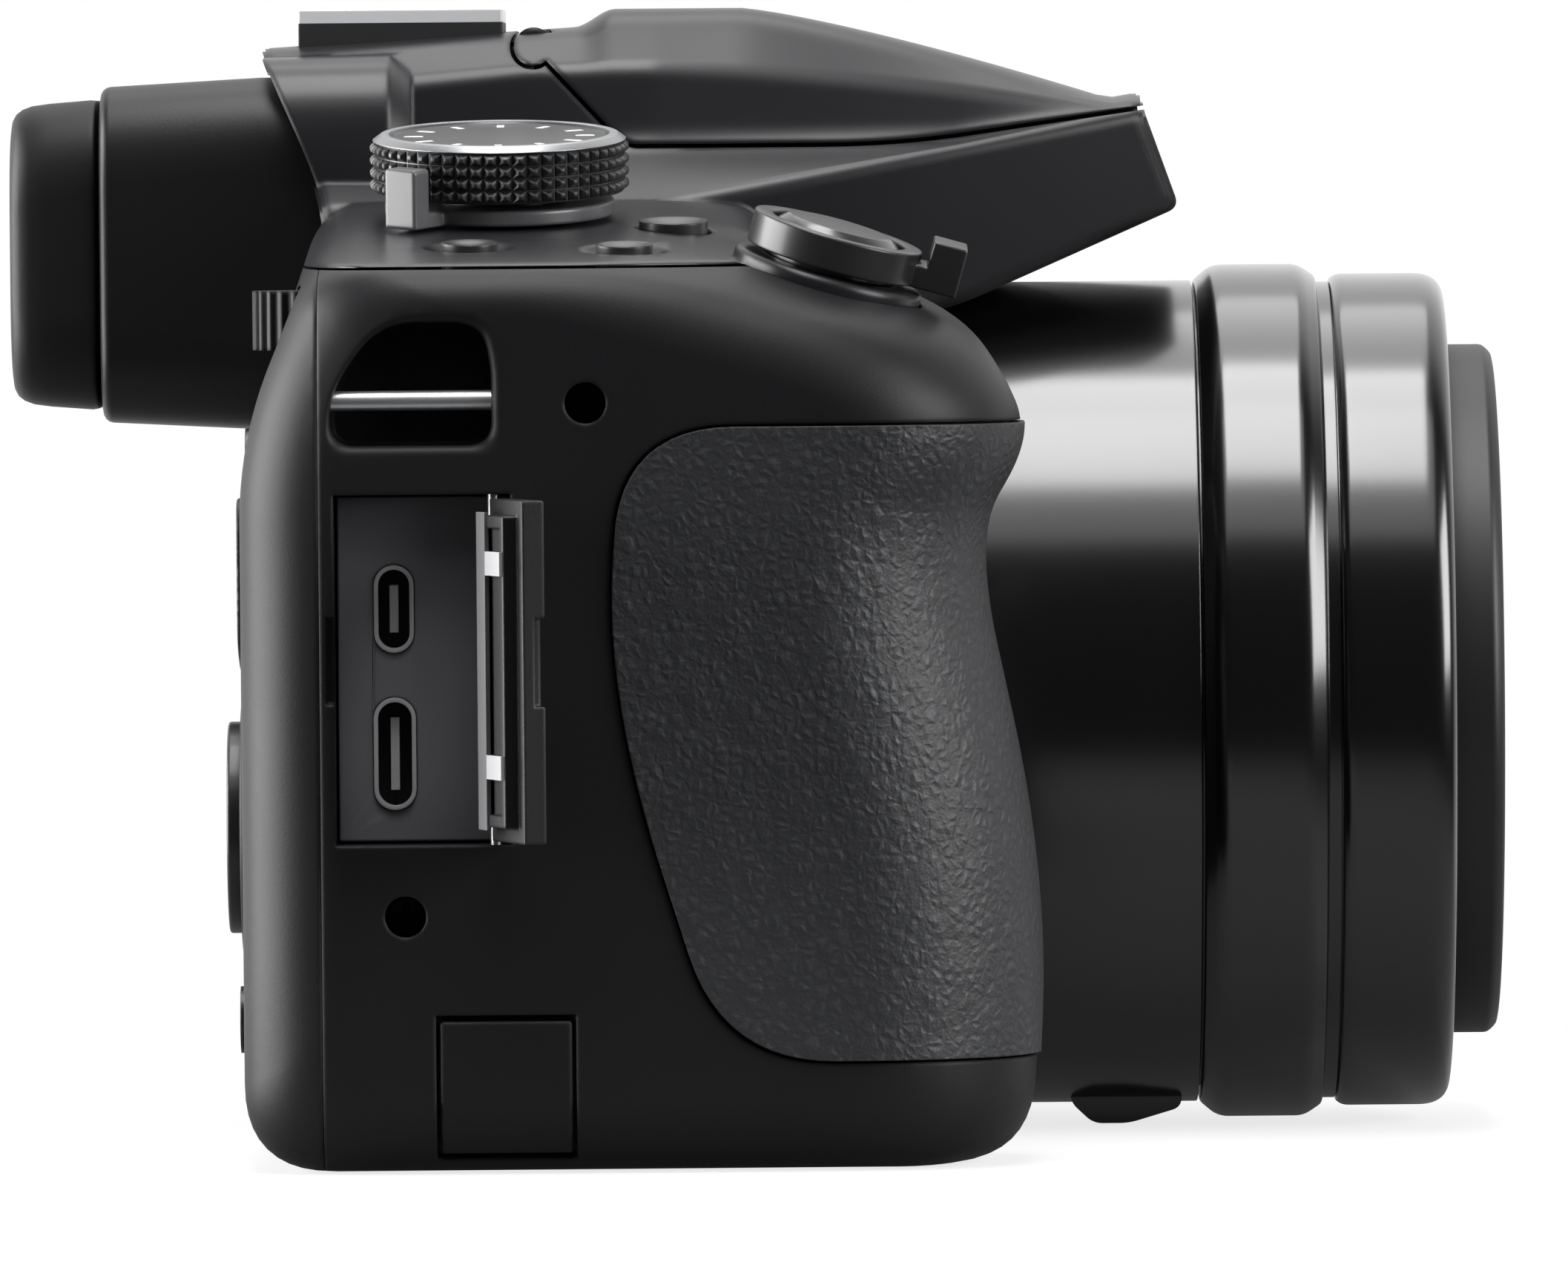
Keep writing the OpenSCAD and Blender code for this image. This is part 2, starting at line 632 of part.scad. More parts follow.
module thumb_outline(d) {
  rim = [[-grip_side + 9, knee_h - 17, 4], [-grip_side + 21, knee_h - 20, 5], [-grip_side + 19, knee_h - 5, 5],
    [-grip_side + 9, knee_h - 5, 3]];
  polygon(soft(grow(rim, d), 5));
}

module thumb_rest() color("#2b2b2d")
  along_y(rear_reach + thumb_proud - thumb_t, rear_reach + thumb_proud) thumb_outline(0);

// Monitor
module monitor_outline(d)
  translate([monitor_x, monitor_z]) polygon(soft(box_corners(monitor_w + 2 * d, monitor_h + 2 * d, 2), 4));

module monitor_glass() color("#0c0d10") along_y(rear_reach - wall + 0.6, rear_reach + 0.3) monitor_outline(0);

module monitor() color("#3c3f44") along_y(rear_reach - wall - 3.4, rear_reach - wall + 0.5)
  translate([monitor_x, monitor_z]) square([monitor_w - 0.6, monitor_h - 0.6], center = true);

// Base plate, tripod socket and battery door
hinge_r = 0.95;
hinge_pin_r = 0.45;
hinge_x = -door_edge + 1.2;
hinge_y0 = -door_front + 13;
hinge_y1 = -door_rear - 1;
hinge_n = 5;
hinge_step = (hinge_y1 - hinge_y0) / hinge_n;

module base_plate() color("#202124") {
  difference() {
    union() {
      linear_extrude(base_t) base_outline(0);
      translate([0, 0, base_t / 2]) linear_extrude(base_t / 2) base_outline(base_lip);
    }
    translate([0, 0, -1]) linear_extrude(base_t + 2) door_outline(run_gap);
    rod_y(hinge_x, hinge_r, hinge_r + run_gap, hinge_y0 - run_gap, hinge_y1 + run_gap);
    block([hinge_x - 3, hinge_y0 - run_gap, -1], [hinge_x + hinge_r + run_gap, hinge_y1 + run_gap, hinge_r]);
    rod_y(hinge_x, hinge_r, hinge_pin_r + 0.02, hinge_y0 - 2, hinge_y1 + 2);
    translate([0, 0, -1]) cylinder(d = socket_out_d + 0.1, h = base_t + 2);
    lens_hole(seam_gap);
    for (s = base_screws) {
      translate([s[0], s[1], -1]) cylinder(r = screw_bore, h = base_t + 2);
      translate([s[0], s[1], -1]) cylinder(r = 1.6, h = 2.1);
    }
  }
  for (i = [1, 3]) difference() {
    union() {
      rod_y(hinge_x, hinge_r, hinge_r, hinge_y0 + i * hinge_step + run_gap / 2,
        hinge_y0 + (i + 1) * hinge_step - run_gap / 2);
      block([hinge_x, hinge_y0 + i * hinge_step + run_gap / 2, 0.4],
        [hinge_x + 2.4, hinge_y0 + (i + 1) * hinge_step - run_gap / 2, hinge_r * 2 - 0.2]);
    }
    rod_y(hinge_x, hinge_r, hinge_pin_r + 0.02, hinge_y0 - 2, hinge_y1 + 2);
  }
}

socket_out_d = 9.6;

module tripod_socket() color("#b9a36a") difference() {
  union() {
    cylinder(d = socket_out_d, h = socket_depth + 1.2);
    translate([0, 0, base_t]) cylinder(d = socket_out_d + 3, h = 1.2);
  }
  translate([0, 0, -1]) cylinder(d = socket_d, h = socket_depth + 1);
}

latch_x = -door_side + 8;
latch_y = -(door_front + door_rear) / 2;
latch_w = 9;
latch_l = 5;
latch_run = 2.5;

module battery_door() color("#232427") {
  difference() {
    linear_extrude(base_t) door_outline(0);
    block([hinge_x - hinge_r - run_gap, hinge_y0 - 3, -1], [hinge_x + 3, hinge_y1 + 4, base_t + 1]);
    block([latch_x - latch_l / 2 - run_gap, latch_y - latch_w / 2 - run_gap, -1],
      [latch_x + latch_l / 2 + latch_run + run_gap, latch_y + latch_w / 2 + run_gap, base_t * 0.6 + run_gap]);
    translate([latch_x, latch_y, -1]) cylinder(r = 0.9 + pin_gap, h = 6);
    block([latch_x, latch_y - 0.9 - pin_gap, -1], [latch_x + latch_run, latch_y + 0.9 + pin_gap, 5]);
    translate([latch_x + latch_run, latch_y, -1]) cylinder(r = 0.9 + pin_gap, h = 6);
  }
  for (i = [0, 2, 4]) difference() {
    union() {
      rod_y(hinge_x, hinge_r, hinge_r, hinge_y0 + i * hinge_step + run_gap / 2,
        hinge_y0 + (i + 1) * hinge_step - run_gap / 2);
      block([hinge_x - hinge_r - run_gap - 0.4, hinge_y0 + i * hinge_step + run_gap / 2, 0.2],
        [hinge_x, hinge_y0 + (i + 1) * hinge_step - run_gap / 2, hinge_r * 2 - 0.2]);
    }
    rod_y(hinge_x, hinge_r, hinge_pin_r + pin_gap, hinge_y0 - 2, hinge_y1 + 2);
  }
}

module battery_latch() color("#5a5c60") {
  difference() {
    block([latch_x - latch_l / 2, latch_y - latch_w / 2, 0.1],
      [latch_x + latch_l / 2, latch_y + latch_w / 2, base_t * 0.6]);
    for (i = [-1:1])
      block([latch_x + i * 1.3 - 0.3, latch_y - latch_w / 2 + 1, 0],
        [latch_x + i * 1.3 + 0.3, latch_y + latch_w / 2 - 1, 0.4]);
  }
  translate([latch_x, latch_y, 0.5]) cylinder(r = 0.9, h = base_t - 0.5);
}

module battery_hinge_pin() color("#9a9ca0")
  rod_y(hinge_x, hinge_r, hinge_pin_r, hinge_y0 - 0.9, hinge_y1 + 0.9);

battery_x = -door_side + 0.9;
battery_y = -door_rear - 1.5;
battery_z = base_t + 1;
card_w = 24;
card_t = 2.1;
card_l = 32;
card_x = battery_x + battery_t + box_t + 0.4;

module battery_box() color("#3a3b3f") difference() {
  block([battery_x - box_t - 0.2, battery_y - battery_w - box_t - 0.2, base_t + 0.6],
    [card_x + card_t + box_t + 0.2, battery_y + box_t + 0.2, battery_z + battery_l + box_t + 0.3]);
  block([battery_x - 0.2, battery_y - battery_w - 0.2, 0],
    [battery_x + battery_t + 0.2, battery_y + 0.2, battery_z + battery_l + 0.2]);
  block([card_x - 0.2, battery_y - card_w - 0.2, 0],
    [card_x + card_t + 0.2, battery_y + 0.2, battery_z + card_l + 0.2]);
  block([card_x - 0.9, battery_y - battery_w - 5, battery_z + card_l + 1.4],
    [card_x + 9, battery_y + 5, battery_l + 40]);
  block([card_x - 0.9, battery_y - battery_w - 5, 0], [card_x + 9, battery_y - card_w - 1.2, battery_l + 40]);
}

module battery() color("#565a61") difference() {
  block([battery_x, battery_y - battery_w, battery_z],
    [battery_x + battery_t, battery_y, battery_z + battery_l]);
  for (i = [0:3]) block([battery_x + 3 + i * 3.4, battery_y - 5, battery_z + battery_l - 0.6],
    [battery_x + 4.6 + i * 3.4, battery_y - 1.5, battery_z + battery_l + 1]);
}

module memory_card() color("#26447a") along_x(card_x, card_x + card_t)
  polygon([[battery_y, battery_z], [battery_y, battery_z + card_l],
    [battery_y - card_w + 4, battery_z + card_l],
    [battery_y - card_w, battery_z + card_l - 4], [battery_y - card_w, battery_z]]);

// Hump: cross sections at stations from the rear to the nose
nose_run = nose_reach - nose_start;
crown_back = lid_hinge_reach + 6.8;
crown_step = 3.5;
nose_low = barrel_top + 6.2;
hump_stations = concat([for (d = [32.5, 23.5, 15.5, 8.5, crown_step, 0]) d - crown_back],
  [for (k = [0.05, 0.16, 0.29, 0.43, 0.565, 0.7, 0.81, 0.915, 1.03]) -nose_start - nose_run * k]);

function nose_part(y) = min(1.05, max(0, (-y - nose_start) / nose_run));
function hump_top(y) = let (s = nose_part(y))
  hump_h - 8.2 * pow(max(0, s - 0.18) / 0.72, 1.25) - 1.5 * fade((y + crown_back) / crown_step)
  - 0.06 * max(0, y + crown_back - crown_step);

function hump_corners(y) =
  let (s = nose_part(y),
       cheek = [mix(hump_foot, 14, pow(s, 1.3)), mix(deck_h - 0.6, waist_h + 3.2, s)],
       waist = [mix(waist_w, 12.6, s), max(waist_h, cheek[1] + 0.3)],
       ridge = [mix(ridge_w, 11.2, s), max(ridge_h - 4 * pow(s, 1.3) - 0.09 * max(0, y + crown_back / 2),
         waist[1] + 0.5)],
       top = [mix(top_w, 7, s), max(hump_top(y), ridge[1] + 0.6)],
       half = [[cheek[0] - 3, seam_h - 13, 0.5], [cheek[0], cheek[1], 1.2], [waist[0], waist[1], 2],
         [ridge[0], ridge[1], 1.6], [top[0], top[1], 3]])
  concat(half, [for (i = [4:-1:0]) [-half[i][0], half[i][1], half[i][2]]]);

module hump_loft() loft([for (y = hump_stations) [for (p = soft(hump_corners(y), 3)) [p[0], y, p[1]]]]);

// Side view of the hump: rear collar, nose and underside
module hump_side() {
  foot = seam_h + seam_gap;
  rim = [[seam_reach + 0.5, foot, 0.2], [seam_reach + 0.8, deck_h + 0.4, 6],
    [seam_reach + 8.6, hump_h + 2, 5],
    [-nose_reach + 2.6, hump_h + 2, 0.5], [-nose_reach + 2.9, waist_h + 2.4, 0.8], [-nose_reach, nose_low, 1],
    [-nose_reach + 18.1, barrel_top - 1.6, 2], [-face_reach - seam_gap, barrel_top - 5.4, 0.2],
    [-face_reach - seam_gap, foot, 0.2]];
  along_x(-50, 50) polygon(soft(rim, 4));
}

module hump_form() intersection() {
  hump_loft();
  hump_side();
}

// Flash lid, hinged at the rear of the hump
lid_hinge_z = hump_h - 3.1;
lid_barrel_r = 1.6;
lid_pin_r = 0.7;
knuckle_w = 3.6;
knuckle_x1 = top_w - 0.4;
knuckle_x0 = knuckle_x1 - knuckle_w;

module lid_zone(gap) {
  ahead = -nose_reach - 13.7;
  over = hump_h + 25;
  rim = [[ahead, over, 0.1], [ahead, waist_h + 5.2, 0.1], [-nose_reach + 23.3, waist_h, 6],
    [-crown_back - 1.1, waist_h, 1], [-crown_back + 0.3, waist_h + 1.2, 1],
      [-lid_hinge_reach, lid_hinge_z, 0.1],
    [-lid_hinge_reach, over, 0.1]];
  along_x(-40, 40) polygon(soft(grow(rim, gap), 3));
  rod_x(-lid_hinge_reach, lid_hinge_z, lid_barrel_r + gap, -40, 40);
}

module lid_knuckle_room(gap) for (x = [-knuckle_x1, knuckle_x0])
  rod_x(-lid_hinge_reach, lid_hinge_z, lid_barrel_r + gap, x - gap, x + knuckle_w + gap);

// The flash head stands on its floor over the barrel and fills the lid, its window in the nose
flash_w = 10.8;
flash_floor = barrel_top + 5.8;
flash_rear = nose_reach - 20.3;
flash_rim = nose_reach - 6.1;
flash_play = 0.6;

module lid_hollow() along_x(-flash_w - 0.2, flash_w + 0.2)
  polygon([[-crown_back + 1, waist_h - 3.2], [-crown_back + 1, hump_h - 3],
    [-crown_back - 12.5, hump_h - 2.8],
    [-flash_rear + 5, hump_h - 4.8], [-flash_rim + 1.2, waist_h + 1.3], [-flash_rim - 0.8, waist_h - 3.2]]);

module flash_lid() color("#3e3f43") difference() {
  intersection() {
    hump_form();
    lid_zone(0);
  }
  lid_hollow();
  lid_knuckle_room(run_gap);
  rod_x(-lid_hinge_reach, lid_hinge_z, lid_pin_r + pin_gap, -40, 40);
}

module flash_head_side(set_back)
  polygon([[-flash_rear, flash_floor], [-flash_rim + 1.6 + set_back, flash_floor],
  [-flash_rim + set_back, waist_h + 0.5], [-flash_rim + 1.2, waist_h + 1.1], [-flash_rear, waist_h + 4.9]]);

module flash_head() color("#1b1c1e") difference() {
  along_x(-flash_w, flash_w) flash_head_side(0);
  flash_window_form(0.05);
}

module flash_window_form(d) along_x(-flash_w + 1.4 - d, flash_w - 1.4 + d)
  polygon([[-flash_rim + 3 + d, flash_floor + 0.8 - d], [-flash_rim + 0.2, flash_floor + 0.8 - d],
    [-flash_rim - 1.8, waist_h + 0.1 + d], [-flash_rim + 1.5 + d, waist_h + 0.1 + d]]);

module flash_window() color("#e6e9ec") intersection() {
  flash_window_form(0);
  along_x(-flash_w, flash_w) flash_head_side(0.1);
}

module flash_hinge_pin() color("#9a9ca0")
  rod_x(-lid_hinge_reach, lid_hinge_z, lid_pin_r, -knuckle_x1, knuckle_x1);

// Top cover with the decks and the fixed part of the hump
module deck_hollow() {
  translate([-hump_foot, 0, deck_h - wall]) rotate([0, -deck_tilt, 0])
    block([-grip_side + hump_foot + 6, -fall_start + 1, -20], [1, 4, 0]);
  translate([hump_foot, 0, deck_h - wall]) rotate([0, deck_tilt, 0])
    block([-1, -face_reach + 8, -20], [left_side - hump_foot - 5, 4, 0]);
  block([-hump_foot + 4, -face_reach + wall + 1, seam_h - 20], [hump_foot - 4, 4, waist_h - 4]);
  block([-flash_w - flash_play, -flash_rim - 1.5, flash_floor - flash_play],
    [flash_w + flash_play, -flash_rear + 2, hump_h - 2.5]);
  block([-flash_w - flash_play, -flash_rear + 1, flash_floor + 1.8],
    [flash_w + flash_play, -crown_back - 1.2, hump_h - 2.5]);
}

module top_cover() color("#3a3b3f") difference() {
  union() {
    difference() {
      union() {
        intersection() {
          body_form(0);
          above_seam(seam_gap);
        }
        difference() {
          hump_form();
          lid_zone(run_gap);
        }
        shutter_frame() translate([0, 0, -3.5]) cylinder(d = zoom_d + 1.6, h = 4.3);
      }
      deck_hollow();
      lens_hole(2 * seam_gap);
      turned() band(0, barrel_d / 2 + ring_w + seam_gap, face_reach - 20, face_reach + ring_out + seam_gap);
    }
    on_deck(dial_x, dial_y) translate([0, 0, -wall - 1]) cylinder(d = 10.4, h = wall + 2.9);
    for (x = [-knuckle_x1, knuckle_x0]) {
      rod_x(-lid_hinge_reach, lid_hinge_z, lid_barrel_r, x, x + knuckle_w);
      block([x, -lid_hinge_reach, lid_hinge_z - 2.6], [x + knuckle_w, -lid_hinge_reach + 3.5, lid_hinge_z]);
    }
    rod_x(flash_button_y, flash_button_z, flash_button_r + 1.2, waist_w - 6, flash_button_x);
  }
  finder_cut();
  rod_x(-lid_hinge_reach, lid_hinge_z, lid_pin_r + 0.02, -knuckle_x1 - 0.5, knuckle_x1 + 0.5);
  on_deck(dial_x, dial_y) translate([0, 0, -20]) cylinder(r = dial_shaft_r + pin_gap, h = 40);
  shutter_frame() {
    translate([0, 0, -0.9]) cylinder(d = zoom_d - 3.2, h = 5);
    translate([0, 0, -20]) cylinder(r = shutter_stem_r + pin_gap, h = 40);
  }
  for (b = deck_buttons) on_deck(b[0], b[1]) {
    translate([0, 0, -0.7]) cylinder(d1 = button_d + 1, d2 = dish_d + 1.4, h = 1.4);
    translate([0, 0, -20]) cylinder(r = button_d / 2 + run_gap, h = 40);
  }
  on_deck(movie_x, movie_y) translate([0, 0, -20]) cylinder(r = movie_d / 2 + run_gap, h = 40);
  rod_x(flash_button_y, flash_button_z, flash_button_r + run_gap, waist_w - 10, left_side);
  shoe_seat();
}

// Hot shoe
shoe_w = 21;
shoe_l = 17;
shoe_y = 3.4;
shoe_slot = 18.6;
shoe_mouth = 12.5;
shoe_base = hump_h - 3.4;

module shoe_seat() block([-shoe_w / 2 - 0.1, shoe_y - shoe_l / 2 - 0.1, shoe_base],
  [shoe_w / 2 + 0.1, shoe_y + shoe_l / 2 + 0.1, hump_h + 25]);

module hot_shoe() color("#d8dade") difference() {
  block([-shoe_w / 2, shoe_y - shoe_l / 2, shoe_base], [shoe_w / 2, shoe_y + shoe_l / 2, hump_h + 0.1]);
  block([-shoe_slot / 2, shoe_y - shoe_l / 2 + 1.4, shoe_base + 0.7],
    [shoe_slot / 2, shoe_y + shoe_l, hump_h - 0.9]);
  block([-shoe_mouth / 2, shoe_y - shoe_l / 2 + 1.4, shoe_base + 0.7],
    [shoe_mouth / 2, shoe_y + shoe_l, hump_h + 25]);
}

// Viewfinder
finder_front = 3;
finder_knee = rear_reach - 0.5;

function finder_ring(y, d) =
  let (k = (y - finder_knee) / (finder_reach - finder_knee),
       w = finder_w - 1.6 * max(0, k), h = finder_top - finder_low - 1.4 * max(0, k))
  [for (p = soft(grow(box_corners(w, h, 8), d), 4)) [p[0], y, p[1] + finder_mid]];

module finder_cut()
  loft([for (y = [finder_reach, finder_knee, finder_front - seam_gap]) finder_ring(y, seam_gap)]);

module viewfinder_housing() color("#1d1d20") difference() {
  loft([finder_ring(finder_reach, -0.8), finder_ring(finder_reach - 0.8, 0), finder_ring(finder_knee, 0),
    finder_ring(finder_front, 0)]);
  along_y(finder_front + 2, finder_reach + 1)
    translate([0, finder_mid]) square([eyepiece_w + 4, eyepiece_h + 4], center = true);
  rod_x(dioptre_y, dioptre_z, dioptre_r + pin_gap, 0, finder_w);
}

module eyecup() color("#252527") difference() {
  loft([for (s = [[eyecup_l, -4.2], [eyecup_l - 0.8, -2.4], [eyecup_l - 2.6, -1.4], [0.9, -1], [0.1, -1.6]])
    finder_ring(finder_reach + s[0], s[1])]);
  along_y(finder_reach - 1, finder_reach + eyecup_l + 1) translate([0, finder_mid])
    polygon(soft(box_corners(eyepiece_w + 1, eyepiece_h + 1, 4), 4));
  translate([0, 0, finder_mid]) loft([for (s = [[eyecup_l + 0.4, 4], [eyecup_l - 3.4, 0.5]])
    [for (p = soft(box_corners(eyepiece_w + 2 * s[1], eyepiece_h + 2 * s[1], 5), 4)) [p[0],
      finder_reach + s[0], p[1]]]]);
}

module eyepiece_lens() color("#8fa6b8")
  along_y(finder_reach - 3, finder_reach - 0.6) translate([0, finder_mid])
  square([eyepiece_w + 3.8, eyepiece_h + 3.8], center = true);

module viewfinder_display() color("#22252b")
  along_y(finder_front + 2.1, finder_front + 5) translate([0, finder_mid])
  square([eyepiece_w + 3.8, eyepiece_h + 3.8], center = true);

dioptre_y = finder_reach - 8;
dioptre_z = finder_mid + 4.6;
dioptre_r = 1.2;

module dioptre_dial() color("#2c2c2f") {
  rod_x(dioptre_y, dioptre_z, dioptre_r, finder_w / 2 - 3.2, finder_w / 2 + 1);
  translate([finder_w / 2 + 0.4, dioptre_y, dioptre_z]) rotate([0, 90, 0]) linear_extrude(1.8) cog(4.2, 24,
    0.3);
}

// Lens
front_end = barrel_reach + rear_collar_l + groove_w + front_collar_l;
spigot_r = barrel_d / 2 - 1.3;
lens_rear = 11;
middle_rear = 24;
front_rear = 36;

module lens_barrel() color("#17181a") difference() {
  union() {
    turned() {
      band(barrel_d / 2 - barrel_t - 0.2, barrel_d / 2, lens_rear, barrel_reach - 0.2);
      band(middle_d / 2 + run_gap + 0.05, spigot_r, barrel_reach - 4, front_end - 1.3);
      band(middle_d / 2 + run_gap + 0.05, barrel_d / 2 - 0.5, barrel_reach - 4, barrel_reach - 0.2);
      band(10, barrel_d / 2 - 0.2, lens_rear, lens_rear + 2);
    }
    intersection() {
      along_x(-7, 7) translate([-barrel_reach, 0]) polygon([[11, lens_low + 1.8], [10.8, lens_low + 0.4],
        [9, 0], [6, 0],
        [1.6, lens_low - 0.2], [1.6, lens_low + 1.8]]);
      turned() band(barrel_d / 2 - 1, barrel_d, lens_rear, barrel_reach);
    }
    for (x = [-19, 19]) for (z = [lens_h - 19, lens_h + 19]) rod_y(x, z, 2, -lens_rear - 1, board_y - 0.1);
  }
  for (x = [-19, 19]) for (z = [lens_h - 19, lens_h + 19]) rod_y(x, z, 0.8, 0, board_y + 1);
}

module rear_collar() color("#1a1b1d") turned() {
  r = rear_collar_d / 2;
  d0 = barrel_reach;
  d1 = barrel_reach + rear_collar_l;
  d2 = d1 + groove_w - 0.1;
  polygon([[spigot_r + 0.05, d0], [r - 1.3, d0], [r - 0.2, d0 + 1.3], [r, d0 + 2], [r, d1 - 1.6], [r - 1, d1],
    [spigot_r + 1.1, d1], [spigot_r + 1.1, d2], [spigot_r + 0.05, d2]]);
}

module front_collar() color("#1a1b1d") turned() {
  r = front_collar_d / 2;
  d0 = barrel_reach + rear_collar_l + groove_w;
  polygon([[spigot_r + 0.05, d0], [r - 0.4, d0], [r, d0 + 0.5], [r, front_end - 1.6],
    [r - 0.4, front_end - 0.6],
    [r - 1.2, front_end], [middle_d / 2 + run_gap, front_end], [middle_d / 2 + run_gap, front_end - 1.2],
    [spigot_r + 0.05, front_end - 1.2]]);
}

module middle_barrel() color("#151618") turned() {
  r0 = front_d / 2 + run_gap;
  band(r0, middle_d / 2, middle_rear, front_end - 0.4);
}

module zoom_lens_group() color("#6d7f8e") turned() {
  band(15, front_d / 2 + run_gap - 0.05, middle_rear + 1, middle_rear + 9);
  polygon([[0, middle_rear + 1], [15, middle_rear + 3], [15, middle_rear + 7], [0, middle_rear + 9]]);
}

front_tip = front_end + front_show;

module front_barrel() color("#2a2b2e") turned() {
  r = front_d / 2;
  g = front_glass_d / 2;
  polygon([[r - 1.4, front_rear], [r, front_rear], [r, front_tip - 0.8], [r - 0.7, front_tip],
    [filter_d / 2, front_tip],
    [filter_d / 2, front_tip - filter_depth], [g + 1.6, front_tip - filter_depth],
      [g + 0.05, front_tip - filter_depth - 1.4],
    [g + 0.05, front_tip - filter_depth - 9], [r - 1.4, front_tip - filter_depth - 9]]);
}

module front_lens() color("#5b6f82") {
  g = front_glass_d / 2;
  d = front_tip - filter_depth - 8.6;
  turned() polygon([[0, d], [g, d], [g, d + 4],
    for (i = [1:8]) [g * cos(i * 11.25), d + 4 + 4.4 * sin(i * 11.25)]]);
}

module rear_lens_group() color("#6d7f8e") turned() {
  difference() {
    band(0, 13, lens_rear + 2, middle_rear - 1.5);
    polygon([[0, middle_rear], [11, middle_rear], [11, middle_rear - 2], [0, middle_rear - 4.5]]);
  }
  band(0, 9.9, lens_rear - 0.4, lens_rear + 2.1);
}

module sensor_board() color("#2f5a3c") {
  block([-6, -lens_rear + 0.6, lens_h - 5], [6, -lens_rear + 2, lens_h + 5]);
  block([-13, -lens_rear + 2, lens_h - 13], [13, -lens_rear + 3, lens_h + 13]);
  for (x = [-11, 11]) rod_y(x, lens_h, 1, -lens_rear + 0.05, -lens_rear + 2.1);
}

// The main board stands over the tripod socket, with two chips on its rear
board_y = 0;
board_t = 1.4;
board_w = 52;
board_left = 30;
board_low = socket_depth + 2.4;
board_top = lens_h + 21.5;
chip_w = 18;
chip_t = 1.7;

module main_board() color("#2f5a3c") {
  back = board_y + board_t - 0.1;
  block([board_left - board_w, board_y, board_low], [board_left, board_y + board_t, board_top]);
  block([-chip_w + 4, back, lens_h - chip_w - 2], [4, back + chip_t, lens_h - 2]);
  block([8, back, lens_h - 10], [20, back + chip_t - 0.4, lens_h + 6]);
}

motor_r = 4.5;
motor_l = 17.3;
motor_shaft_l = 4;

module zoom_motor() color("#9da0a6") {
  front = -face_reach + wall + 0.7;
  rod_y(left_side - motor_r - 7, seam_h - 14, motor_r, front, front + motor_l);
  rod_y(left_side - motor_r - 7, seam_h - 14, 1, front + motor_l - 0.1, front + motor_l + motor_shaft_l);
}

capacitor_r = 5;
capacitor_l = 32;

module flash_capacitor() color("#23262d")
  translate([left_side - wall - capacitor_r - 0.6, -12, base_r + 1.4]) cylinder(r = capacitor_r,
    h = capacitor_l);

// Deck controls
module on_deck(x, y) translate([x, y, deck_z(x)]) rotate([0, -deck_tilt, 0]) children();

dial_x = -40;
dial_y = -5.2;
dial_shaft_r = 2.5;
dial_low = 1.9;

module cog(r, n, depth) polygon([for (i = [0:n - 1]) for (s = [[0.08, 0], [0.42, 0], [0.58, 1], [0.92, 1]])
  let (a = 360 * (i + s[0]) / n) (r - depth * s[1]) * [cos(a), sin(a)]]);

dial_bevel = 0.6;

module mode_dial() color("#2a2b2e") on_deck(dial_x, dial_y) {
  translate([0, 0, dial_low + run_gap]) linear_extrude(dial_h - dial_bevel) cog(dial_d / 2, dial_teeth, 0.35);
  translate([0, 0, dial_low + run_gap + dial_h - dial_bevel])
    cylinder(r1 = dial_d / 2 - 0.2, r2 = dial_d / 2 - 0.2 - dial_bevel, h = dial_bevel);
  translate([0, 0, -4.5]) cylinder(r = dial_shaft_r, h = dial_low + run_gap + 5);
}

power_at = 142;

module power_lever() color("#9a9ca0") on_deck(dial_x, dial_y) difference() {
  union() {
    translate([0, 0, 0.3]) cylinder(r = dial_d / 2 - 1.2, h = dial_low - 0.6);
    rotate([0, 0, power_at]) {
      block([0, -1.6, 0.3], [dial_d / 2 + 2.4, 1.6, dial_low - 0.3]);
      block([dial_d / 2 + 0.4, -1.6, 0.3], [dial_d / 2 + 2.4, 1.6, dial_low + dial_h - 1.4]);
    }
  }
  cylinder(d = 10.4 + 2 * run_gap, h = 10, center = true);
}

shutter_x = -60;
shutter_y = -31.8;
shutter_stem_r = 1.5;

module shutter_frame()
  translate([shutter_x, shutter_y, deck_z(shutter_x) - (-shutter_y - fall_start) * tan(fall_angle)])
  rotate([fall_angle, -deck_tilt, 0]) children();

module zoom_lever() color("#26272a") shutter_frame() difference() {
  union() {
    translate([0, 0, 0.8 + run_gap]) cylinder(d = zoom_d, h = 2.7);
    rotate([0, 0, -90]) {
      block([zoom_d / 2 - 1.4, -2.4, 0.8 + run_gap], [zoom_d / 2 + 3.4, 2.4, 3]);
      block([zoom_d / 2 + 0.6, -2.4, 0.8 + run_gap], [zoom_d / 2 + 3.4, 2.4, 5.2]);
    }
  }
  cylinder(d = zoom_d - 3, h = 20, center = true);
}

module shutter_button() color("#303135") shutter_frame() {
  translate([0, 0, 0.6]) cylinder(d = shutter_d, h = 3);
  translate([0, 0, 3.6]) cylinder(d1 = shutter_d, d2 = shutter_d - 1.4, h = 0.6);
  translate([0, 0, -6]) cylinder(r = shutter_stem_r, h = 7);
}

deck_buttons = [[-60, -3], [-62, -15.5]];
movie_x = -47;
movie_y = -19.4;

module deck_button(d, proud) difference() {
  translate([0, 0, -wall - 1]) cylinder(d = d, h = wall + 1 + proud);
  translate([0, 0, proud + d * 0.9]) sphere(r = d);
}

module drive_button() color("#303135")
  on_deck(deck_buttons[0][0], deck_buttons[0][1]) deck_button(button_d, 0.4);

